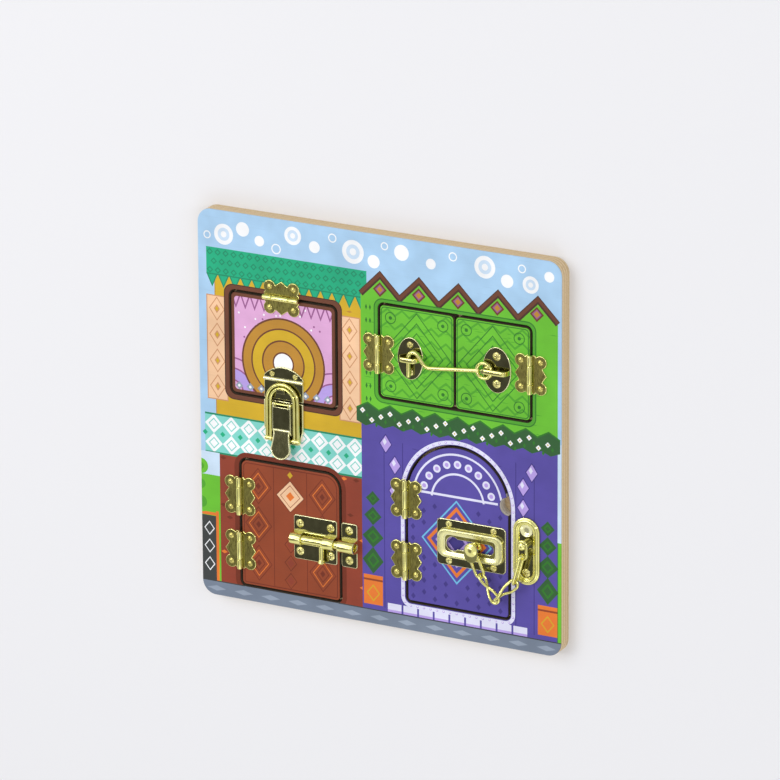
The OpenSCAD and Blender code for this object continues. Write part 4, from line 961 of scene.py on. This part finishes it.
for hinge, (body, places) in HINGES.items():
    plural = "leaves" if len(places) > 1 else "leaf"
    hinge_leaves(hinge + "_plates", body, places, DOOR_KNUCKLES, 0, f"{hinge}_door_{plural}")
    hinge_leaves(hinge + "_fixed_plates", "frame", places, FRAME_KNUCKLES, 180, f"{hinge}_frame_{plural}")

# ---- Toggle latch, from the seam below the window flap ----

LATCH = at(-78.4, 10.9)
TOGGLE_HALF = 16.4  # half width of its plates
LEVER_PIN, LEVER_EYE_R = (-1.6, 3.4), 1.5  # the pin's y and z, and the radius of the eyes round it
BAIL_PIN_Y, BAIL_Z = -28.7, 3.2
LEVER_Z, NECK = 3.9, 6.6  # underside of the lever, and half width of its tongue at the fold


def lens_top(half, low, shoulder, rise):
    """Rectangle with a bowed top."""
    r = (half * half + rise * rise) / (2 * rise)
    cy = shoulder + rise - r
    a0 = math.atan2(shoulder - cy, half)
    return np.array([(-half, low), (half, low)] + arc((0, cy), r, np.linspace(a0, math.pi - a0, 24)))


def catch_plate():
    s = Solid("catch_plate", LATCH)
    s.plate(grown(lens_top(TOGGLE_HALF, 1.3, 19.1, 7.2), -RIM))
    # Folded rib above the bail, in rim brass painted pale as a highlight
    rib_y, rib_r, rib_z, rib_h = 14.9, 1.4, 0.9, 1.3
    rib = [(rib_y + rib_r - rib_r * math.cos(q), rib_z + rib_h * math.sin(q))
           for q in np.linspace(0, math.pi, 14)]
    s.shell += 1
    s.loft([[(x, *q) for q in rib] for x in (-TOGGLE_HALF, TOGGLE_HALF)], "rim")
    # Hook that the bail pulls on, in plate brass painted darker as a dark reflection
    width, ease, foot_z, lip_z, top_z = 7, 0.2, 0.5, 4.9, 5.9
    back, front, lip = 7.4, 8.4, 10.2
    hook = [[back, foot_z], [front, foot_z], [front, lip_z], [lip, lip_z], [lip, top_z], [back, top_z]]
    s.at = moved(LATCH, -width / 2) @ ALONG_X
    s.slab([grown(hook, -ease)], [], 0, width, ease, "plate", "plate", "plate")
    s.make("toggle_catch_plate", "window_flap")


def toggle_foot():
    """Base plate with raised edges and the ears of the lever's pin."""
    half_foot = [(TOGGLE_HALF, 0), (TOGGLE_HALF, -21), (14.8, -25), (11.81, -32.4)]
    raised = [(15.9, -0.6, 1.3), (15.9, -21, 1.3), (14.4, -24.9, 1.0), (12.2, -30.6, 1.0)]
    ear_x, ear_ease, ear_z = 5.6, 0.2, 0.2
    y, z = LEVER_PIN
    r = LEVER_EYE_R
    ear = [(y - r, ear_z), (y + r, ear_z), (y + r, z)]
    ear += arc(LEVER_PIN, r, np.linspace(0.2, math.pi - 0.2, 12)) + [(y - r, z)]
    s = Solid("toggle_foot", LATCH)
    s.plate(grown([(-x, y) for x, y in half_foot] + half_foot[::-1], -RIM))
    # Raised edges, and the rounding of the ears, in rim brass painted pale as a highlight
    for sx in (-1, 1):
        s.at = LATCH
        s.tube([(sx * x, y, z) for x, y, z in raised], 0.5, "rim", 12)
        s.at = moved(LATCH, sx * ear_x - PLATE_T / 2) @ ALONG_X
        s.slab([grown(ear, -ear_ease)], [circle(*LEVER_PIN, 1.05, 24)], 0, PLATE_T, ear_ease,
               "bright", "bright", "rim")
    s.make("toggle_base", "frame")


def lever():
    top_ease, wall_ease, wall_x, low_z, top_z = 0.4, 0.25, 7.0, 1.9, 4.9
    fold_y, heel_y = -21.0, -24.8
    s = Solid("lever", moved(LATCH, z=LEVER_Z))
    s.plate(grown(rect(-7.5, -21.3, 7.5, -3.5), -top_ease), ease=top_ease)
    # Side walls with the eyes of its pin, in rim brass painted pale as a highlight
    wall = [(heel_y, low_z), (LEVER_PIN[0], low_z)]
    wall += arc(LEVER_PIN, LEVER_EYE_R, np.linspace(-1.3, math.pi / 2, 16))
    wall += [(-21.4, top_z), (heel_y, 3.4)]
    for sx in (-1, 1):
        s.at = moved(LATCH, sx * wall_x - PLATE_T / 2) @ ALONG_X
        s.slab([grown(wall, -wall_ease)], [circle(*LEVER_PIN, 1.1, 24)], 0, PLATE_T, wall_ease,
               "rim", "rim", "rim")
    # Rib at the fold, in rim brass painted pale as a highlight
    s.at = LATCH
    s.tube([(-NECK, -21.1, 4.75), (NECK, -21.1, 4.75)], 0.8, "rim", 16)
    # Tube that carries the bail
    s.at = moved(LATCH, 0, BAIL_PIN_Y, BAIL_Z) @ Matrix.Rotation(math.pi / 2, 4, "Y")
    bore, r, ease = 1.15, 1.9, 0.3
    ends = [(bore, NECK), (1.7, NECK), (r, NECK - ease)]
    s.revolve([(a, -b) for a, b in ends] + ends[::-1], "bright", 32, True)
    # Tongue, sloping away from the board to its round end, with a bead along its edge in rim brass painted
    # pale as a highlight
    length, half, lift, bead_in, bead_r, bead_z = 14, 8.3, 8, 0.55, 0.5, 0.95
    s.at = moved(LATCH, 0, fold_y, LEVER_Z) @ Matrix.Rotation(math.radians(-lift), 4, "X")
    flare = [(NECK, 0)] + [(NECK + (half - NECK) * f ** 2, -length * f) for f in np.linspace(0.15, 1, 8)]
    tongue = [(-x, y) for x, y in flare]
    tongue += arc((0, -length), half, np.linspace(math.pi, 2 * math.pi, 30)[1:-1]) + flare[::-1]
    s.plate(grown(tongue, -RIM))
    s.tube([(*q, bead_z) for q in grown(tongue, -bead_in)[1:-1]], bead_r, "rim", 12)
    s.make("toggle_lever", "toggle_lever")


# ---- Cabin hook ----

# Middles of the keep, the eye plate and the hook's ring
KEEP, EYE, RING = (27.2, 60.1), (98.0, 62.0), (89.2, 61.2)
HOOK_Z, HOOK_R, BEND_R = 4.05, 1.6, 4.3
RING_R, RING_WIRE_R = 5.75, 1.35


def strap(s, profile):
    """Pressed strap 3.6 wide over x, z points of the frame s.at."""
    turns = np.gradient(np.array(profile, float), axis=0)
    ups = [(-dz, 0, dx) for dx, dz in turns]
    s.tube([(x, 0, z) for x, z in profile], 1.8, "bright", 24, ups=ups, flat=0.27)


def keep_plate():
    s = Solid("keep_plate", at(*KEEP))
    s.plate(oval(10.6 - RIM, 16.1 - RIM))
    # Bridge that the hook's tip passes under
    half = [(8.6, 0.6), (8.3, 1.5), (6.3, 5.2), (5.2, 6.3), (3.9, 6.5)]
    strap(s, [(-x, z) for x, z in half] + half[::-1])
    s.make("hook_keep_plate", "garage_door_left")


def eye_plate():
    s = Solid("eye_plate", at(*EYE))
    s.plate(oval(11.6 - RIM, 17.4 - RIM))
    # Post inside the ring, and the strap over it
    s.at = at(*RING)
    s.revolve([(0, 0.4), (2.6, 0.4), (2.5, 1.3), (1.7, 1.7), (1.7, 5.8), (1.8, 6.4), (1.5, 6.8), (0, 6.8)],
              "bright")
    strap(s, [(0, 6.3), (15.2, 6.3), (16.9, 5.9), (17.9, 4.6), (18.9, 1.6), (19.1, 0.6)])
    s.make("hook_eye_plate", "garage_door_right")


def heading(v):
    return math.degrees(math.atan2(v[1], v[0]))


def cabin_hook():
    """Wire from the tip, round the bend and the elbow, to the ring."""
    tip_in, bend_rise, elbow_x, elbow_drop, tip_l, cut = 0.3, 1.9, 14.6, 5.2, 14.0, 4
    bend = np.array([KEEP[0] + tip_in + BEND_R, KEEP[1] + bend_rise])
    elbow = np.array([KEEP[0] + elbow_x, RING[1] - elbow_drop])
    bend_end = heading(elbow - bend) + math.degrees(math.acos(BEND_R / np.hypot(*(elbow - bend))))
    turn = arc(bend, BEND_R, degrees(180, bend_end, 23))
    into, onward = np.array(turn[-1]) - elbow, np.array(RING) - elbow
    into, onward = into / np.hypot(*into), onward / np.hypot(*onward)
    corner = [elbow + cut * (1 - f) ** 2 * into + cut * f ** 2 * onward for f in np.linspace(0, 1, 9)]
    route = [bend - (BEND_R, tip_l), bend - (BEND_R, tip_l / 2)] + turn + corner
    route += [np.array(RING) - 5.4 * onward]
    s = Solid("hook", at(0, 0, HOOK_Z))
    s.tube([(x, y, 0) for x, y in route], HOOK_R, "bright", 28)
    ring = arc(RING, RING_R, degrees(0, 360, 65))[:-1]
    s.tube([(x, y, 0) for x, y in ring], RING_WIRE_R, "bright", 24, True)
    s.make("cabin_hook", "cabin_hook")


# ---- Barrel bolt ----

BOLT_Y, BOLT_H = -92.2, 34.2
ROD_Z, GUIDE_R, GUIDE_EASE = 4.2, 4.7, 0.3


def bolt_piece(name, node, body, x, width, guides, guide_l, bore):
    """Plate with half-round guides for the rod. Two guides have a rib on each side between them."""
    foot, foot_z = GUIDE_R + 0.6, 0.3
    guide = [(-foot, foot_z), (foot, foot_z)] + arc((0, ROD_Z), GUIDE_R, np.linspace(0, math.pi, 36))
    s = Solid(name, at(x, BOLT_Y))
    s.plate(rounded(0, 0, width - 2 * RIM, BOLT_H - 2 * RIM, [1.4] * 4))
    # Guides, their rounding in rim brass painted pale as a highlight
    for start in guides:
        s.at = at(x + start, BOLT_Y) @ ALONG_X
        s.slab([grown(guide, -GUIDE_EASE)], [circle(0, ROD_Z, bore + GUIDE_EASE, 48)], 0, guide_l, GUIDE_EASE,
               "bright", "bright", "rim")
    if len(guides) > 1:
        s.at = at(x, BOLT_Y)
        rib_y, rib_z, rib_r = 4.4, 1.2, 0.85
        for sy in (-1, 1):
            s.tube([(x, sy * rib_y, rib_z) for x in (guides[0] + 8, guides[1] + 0.8)], rib_r, "bright", 16)
    s.make(node, body)


def barrel_bolt():
    bolt_piece("bolt_base", "bolt_plate", "red_door", -52.9, 36.2, (-18.1, 9.3), 8.8, 3.16)
    bolt_piece("bolt_socket", "bolt_keep", "frame", -24.4, 13.2, (-6.6,), 13.2, 3.2)


# ---- Door chain ----

CHAIN_X, CHAIN_Y, CHAIN_W, CHAIN_H = 76.9, -75.7, 56.6, 35.4
PAN_W, PAN_H = 54.4, 22.4  # raised frame round the slot
LINK_R, LINK_END, LINK_Z = 1.1, 3.35, 7.2  # wire, round end and height of the links
LINK_L, FIRST_LINK_L, LOOP_L = 17.5, 14.5, 6.8  # between the middles of their round ends
PASS = 0.35  # clearance between links
SEAT = LINK_END - 2 * LINK_R - PASS  # a hanging wire's place past the round end's middle
PITCH = LINK_L + LINK_END + SEAT
ANCHOR, ANCHOR_W, ANCHOR_H = (122.0, -72.3), 21.6, 51.4
STUD_Y, DISH_Y = 6.1, 16.1  # the stud and the round cap, from the anchor's middle


def slide_plate():
    """Plate with a raised frame, open to the slotted floor."""
    s = Solid("chain_base", at(CHAIN_X, CHAIN_Y))
    s.plate(rounded(0, 0, CHAIN_W - 2 * RIM, CHAIN_H - 2 * RIM, [2.9] * 4), [rounded(0, 0, 43, 15, [4] * 4)])
    # Rings round the frame's section: insets in X and Y, corner radius and height
    rings = ((5.7, 3.7, 4, 0.6), (0, 0, 7, 0.6), (0.05, 0.05, 7, 2.2), (0.3, 0.3, 6.8, 3.2),
             (0.8, 0.8, 6.4, 3.7), (1.4, 1.3, 6.0, 3.8), (2.4, 2.0, 5.4, 3.74), (3.6, 2.8, 4.8, 3.54),
             (4.8, 3.5, 4.1, 3.24), (5.9, 4.1, 3.5, 2.9), (6.3, 4.4, 3.2, 2.9), (6.6, 4.65, 3, 2.75),
             (6.7, 4.75, 3, 2.3), (5.7, 3.7, 4, 2.2))
    # The frame's broad face in pan brass and its inner fall in rim brass, both painted pale as a highlight
    s.shell += 1
    s.loft([[(*q, z) for q in rounded(0, 0, PAN_W - 2 * g, PAN_H - 2 * h, [r] * 4)] for g, h, r, z in rings],
           ["bright"] * 3 + ["pan"] * 6 + ["rim"] * 2 + ["bright"] * 3, True)
    # Slot with its keyhole, its rounding in rim brass painted pale as a highlight
    keyhole_x, keyhole_r, slot_end, slot_r, ease, opening = -14.2, 5.4, 19.4, 3.75, 0.35, 0.77
    slot = arc((keyhole_x, 0), keyhole_r, np.linspace(opening, 2 * math.pi - opening, 30))
    slot += arc((slot_end - slot_r, 0), slot_r, np.linspace(-math.pi / 2, math.pi / 2, 18))
    s.slab([rounded(0, 0, 42.9, 14.9, [4] * 4)], [grown(slot, ease)], 2.1, 2.75, ease,
           "satin", "satin", "rim")
    s.make("chain_slide_plate", "arched_door")


def link(name, node, body, joint, direction, length, tilt0, tilt1):
    """Closed wire with round ends length apart, each tilted about the length, as the CAD has it."""
    steps = 16
    straight = [length * i / steps for i in range(1, steps)]
    flat = arc((0, 0), LINK_END, degrees(90, 270, 19)) + [(x, -LINK_END) for x in straight]
    flat += arc((length, 0), LINK_END, degrees(-90, 90, 19)) + [(x, LINK_END) for x in straight[::-1]]
    path, ups = [], []
    for x, y in flat:
        f = min(max(x / length, 0), 1)
        q = math.radians(tilt0 + (tilt1 - tilt0) * f * f * (3 - 2 * f))
        path.append((x, y * math.cos(q), y * math.sin(q)))
        ups.append((0, -math.sin(q), math.cos(q)))
    s = Solid(name, moved(at(*joint, LINK_Z, direction), LINK_END if tilt0 else 0))
    s.tube(path, LINK_R, "bright", 20, True, ups)
    s.make(node, body)


def chain():
    """Links from the button to the loop on the anchor's stud. The third's direction closes the chain."""
    j1 = np.array([CHAIN_X + 4.2, CHAIN_Y - 4])
    j2 = arc(j1, FIRST_LINK_L + SEAT, [math.radians(-65)])[0]
    j3 = arc(j2, PITCH, [math.radians(-55)])[0]
    stud = np.array([ANCHOR[0], ANCHOR[1] + STUD_Y])
    end = stud - (0, LOOP_L)
    last = LINK_L + 2 * LINK_END
    rest = end - j3
    reach = np.hypot(*rest)
    bent = math.acos((PITCH ** 2 + reach ** 2 - last ** 2) / (2 * PITCH * reach))
    third = heading(rest) - math.degrees(bent)
    j4 = arc(j3, PITCH, [math.radians(third)])[0]
    for i, link_shape in enumerate(((j1, -65, FIRST_LINK_L, 0, 0), (j2, -55, LINK_L, 90, 0),
                                    (j3, third, LINK_L, 90, 0), (j4, heading(end - j4), LINK_L, 90, 90)), 1):
        link(f"link_{i}", f"chain_link_{i}", f"chain_link_{i}", *link_shape)
    link("anchor_loop", "chain_anchor_loop", "frame", stud, -90, LOOP_L, 0, 0)


def oblong(inset, z):
    """Ring of points with half-round ends."""
    w, h, n = ANCHOR_W / 2 - inset, ANCHOR_H / 2 - inset, 20
    past = 1e-9  # moves the second arc past pi, to the lower end
    return [(w * math.cos(q), (h - w) * (1 if q < math.pi else -1) + w * math.sin(q), z)
            for q in np.r_[np.linspace(0, math.pi, n), np.linspace(math.pi, 2 * math.pi, n) + past]]


def anchor_plate():
    """Floor, rolled wall and round cap of the anchor."""
    s = Solid("anchor_base", at(*ANCHOR))
    s.plate(np.array(oblong(4.6, 0))[:, :2], [circle(0, DISH_Y, 4.9, 40)], ease=0.3)
    s.shell += 1
    wall = ((4.7, 0), (0.1, 0), (0, 0.3), (0, 1.0), (0.25, 1.35), (0.9, 1.5), (1.1, 1.6), (1.3, 1.95),
            (1.9, 2.3), (2.6, 2.4), (3.2, 2.35), (3.6, 2.1), (3.8, 1.85), (4.4, 1.75), (4.8, 1.6),
            (5.2, 1.2), (5.4, 0.95), (5.4, 0.6))
    s.loft([oblong(g, z) for g, z in wall], "bright", True)
    # Round cap in rim brass, painted pale as a highlight
    s.at = at(ANCHOR[0], ANCHOR[1] + DISH_Y)
    s.revolve([(0, 0.05), (4.8, 0.05), (5.1, 0.6), (5.05, 1.05), (4.75, 1.3), (4.4, 1.2), (3.7, 0.8),
               (2.6, 0.45), (1.3, 0.28), (0, 0.25)], "rim", 40)
    s.make("chain_anchor_plate", "frame")


for build in (catch_plate, toggle_foot, lever, keep_plate, eye_plate, cabin_hook, barrel_bolt, slide_plate,
              chain, anchor_plate):
    build()

# ---- Screws, pins, rods and the back: the CAD's own pieces ----

SLOTS = {p["node"]: p["material_slot"] for p in frame["record"]["subparts"]}
CARRIED = {"screw_brass": SCREW, "bright_brass": BRIGHT, "plywood": PLY}
HINGE_SCREW = brass("hinge_screw_brass", "#cfc473", "#b3a75c", "#ece0a2", 0.24, 0.00025, 0.35)
for node, obj in frame["nodes"].items():
    if SLOTS[node] in CARRIED:
        finish = HINGE_SCREW if "hinge" in node and "screw" in node else CARRIED[SLOTS[node]]
        for i in range(len(obj.data.materials)):
            obj.data.materials[i] = finish

# ---- Stage, light and camera, in metres and degrees ----

FLOOR_HALF = 6
CAMERA_AZIMUTH, CAMERA_ELEVATION, CAMERA_ROLL = 34.6, 56.33, -0.35
TARGET = Vector((0.0099, 0.0333, 0.012))
DISTANCE, LENS, SENSOR = 5.013, 318.6, 36.0


def aim(azimuth, elevation):
    a, e = math.radians(azimuth), math.radians(elevation)
    return Vector((math.cos(e) * math.cos(a), math.cos(e) * math.sin(a), math.sin(e)))


def paper_floor():
    m, t, b = new_material("floor_paper")
    wire(t, b, Base_Color=srgb("#e9e9ec"), Roughness=0.9)
    h = FLOOR_HALF
    me = bpy.data.meshes.new("floor")
    me.from_pydata([(-h, -h, 0), (h, -h, 0), (h, h, 0), (-h, h, 0)], [], [(0, 1, 2, 3)])
    me.materials.append(m)
    floor = bpy.data.objects.new("floor", me)
    bpy.context.scene.collection.objects.link(floor)


def softbox(name, azimuth, elevation, distance, size, watts):
    lamp = bpy.data.lights.new(name, "AREA")
    lamp.shape = "RECTANGLE"
    lamp.size, lamp.size_y = size
    lamp.energy = watts
    o = bpy.data.objects.new(name, lamp)
    d = aim(azimuth, elevation)
    o.location = d * distance
    o.rotation_euler = d.to_track_quat("Z", "Y").to_euler()
    bpy.context.scene.collection.objects.link(o)


def studio_world():
    """Pale all round, dimmer towards the camera's mirror image, with a dark card in its middle."""
    world = bpy.data.worlds.new("studio")
    world.use_nodes = True
    t = world.node_tree
    mirror = aim(CAMERA_AZIMUTH + 180, CAMERA_ELEVATION)
    off = maths(t, "DOT_PRODUCT", add(t, "TexCoord").outputs["Generated"], mirror, "VectorMath")

    def within(outer, inner):
        """1 inside inner degrees of the mirror image, and 0 outside outer."""
        return spread(t, off, math.cos(math.radians(outer)), math.cos(math.radians(inner)))

    around, card = within(80, 45), within(23, 12)
    walls = mix(t, around, (0.50, 0.50, 0.51, 1), (0.90, 0.90, 0.90, 1))
    wire(t, t.nodes["Background"], Color=mix(t, card, walls, (0.22, 0.22, 0.23, 1)))
    bpy.context.scene.world = world


def photo_camera():
    lens = bpy.data.cameras.new("camera")
    lens.lens, lens.sensor_width, lens.clip_end = LENS, SENSOR, 50
    camera = bpy.data.objects.new("camera", lens)
    toward = aim(CAMERA_AZIMUTH, CAMERA_ELEVATION)
    level = Vector((0, 1, 0)).cross(toward).normalized()
    above = toward.cross(level)
    c, s = math.cos(math.radians(CAMERA_ROLL)), math.sin(math.radians(CAMERA_ROLL))
    turn = Matrix((level * c + above * s, above * c - level * s, toward)).transposed().to_4x4()
    camera.matrix_world = Matrix.Translation(TARGET + toward * DISTANCE) @ turn
    bpy.context.scene.collection.objects.link(camera)
    bpy.context.scene.camera = camera


paper_floor()
softbox("key", 130, 52, 2.2, (1.3, 1.3), 10)
softbox("fill", 300, 40, 2.4, (1.0, 1.6), 4)
softbox("strip_left", 175, 62, 2.0, (0.10, 1.4), 5)
softbox("strip_right", 20, 35, 2.0, (0.10, 1.4), 5)
studio_world()
photo_camera()
bpy.context.scene.view_settings.view_transform = "Standard"
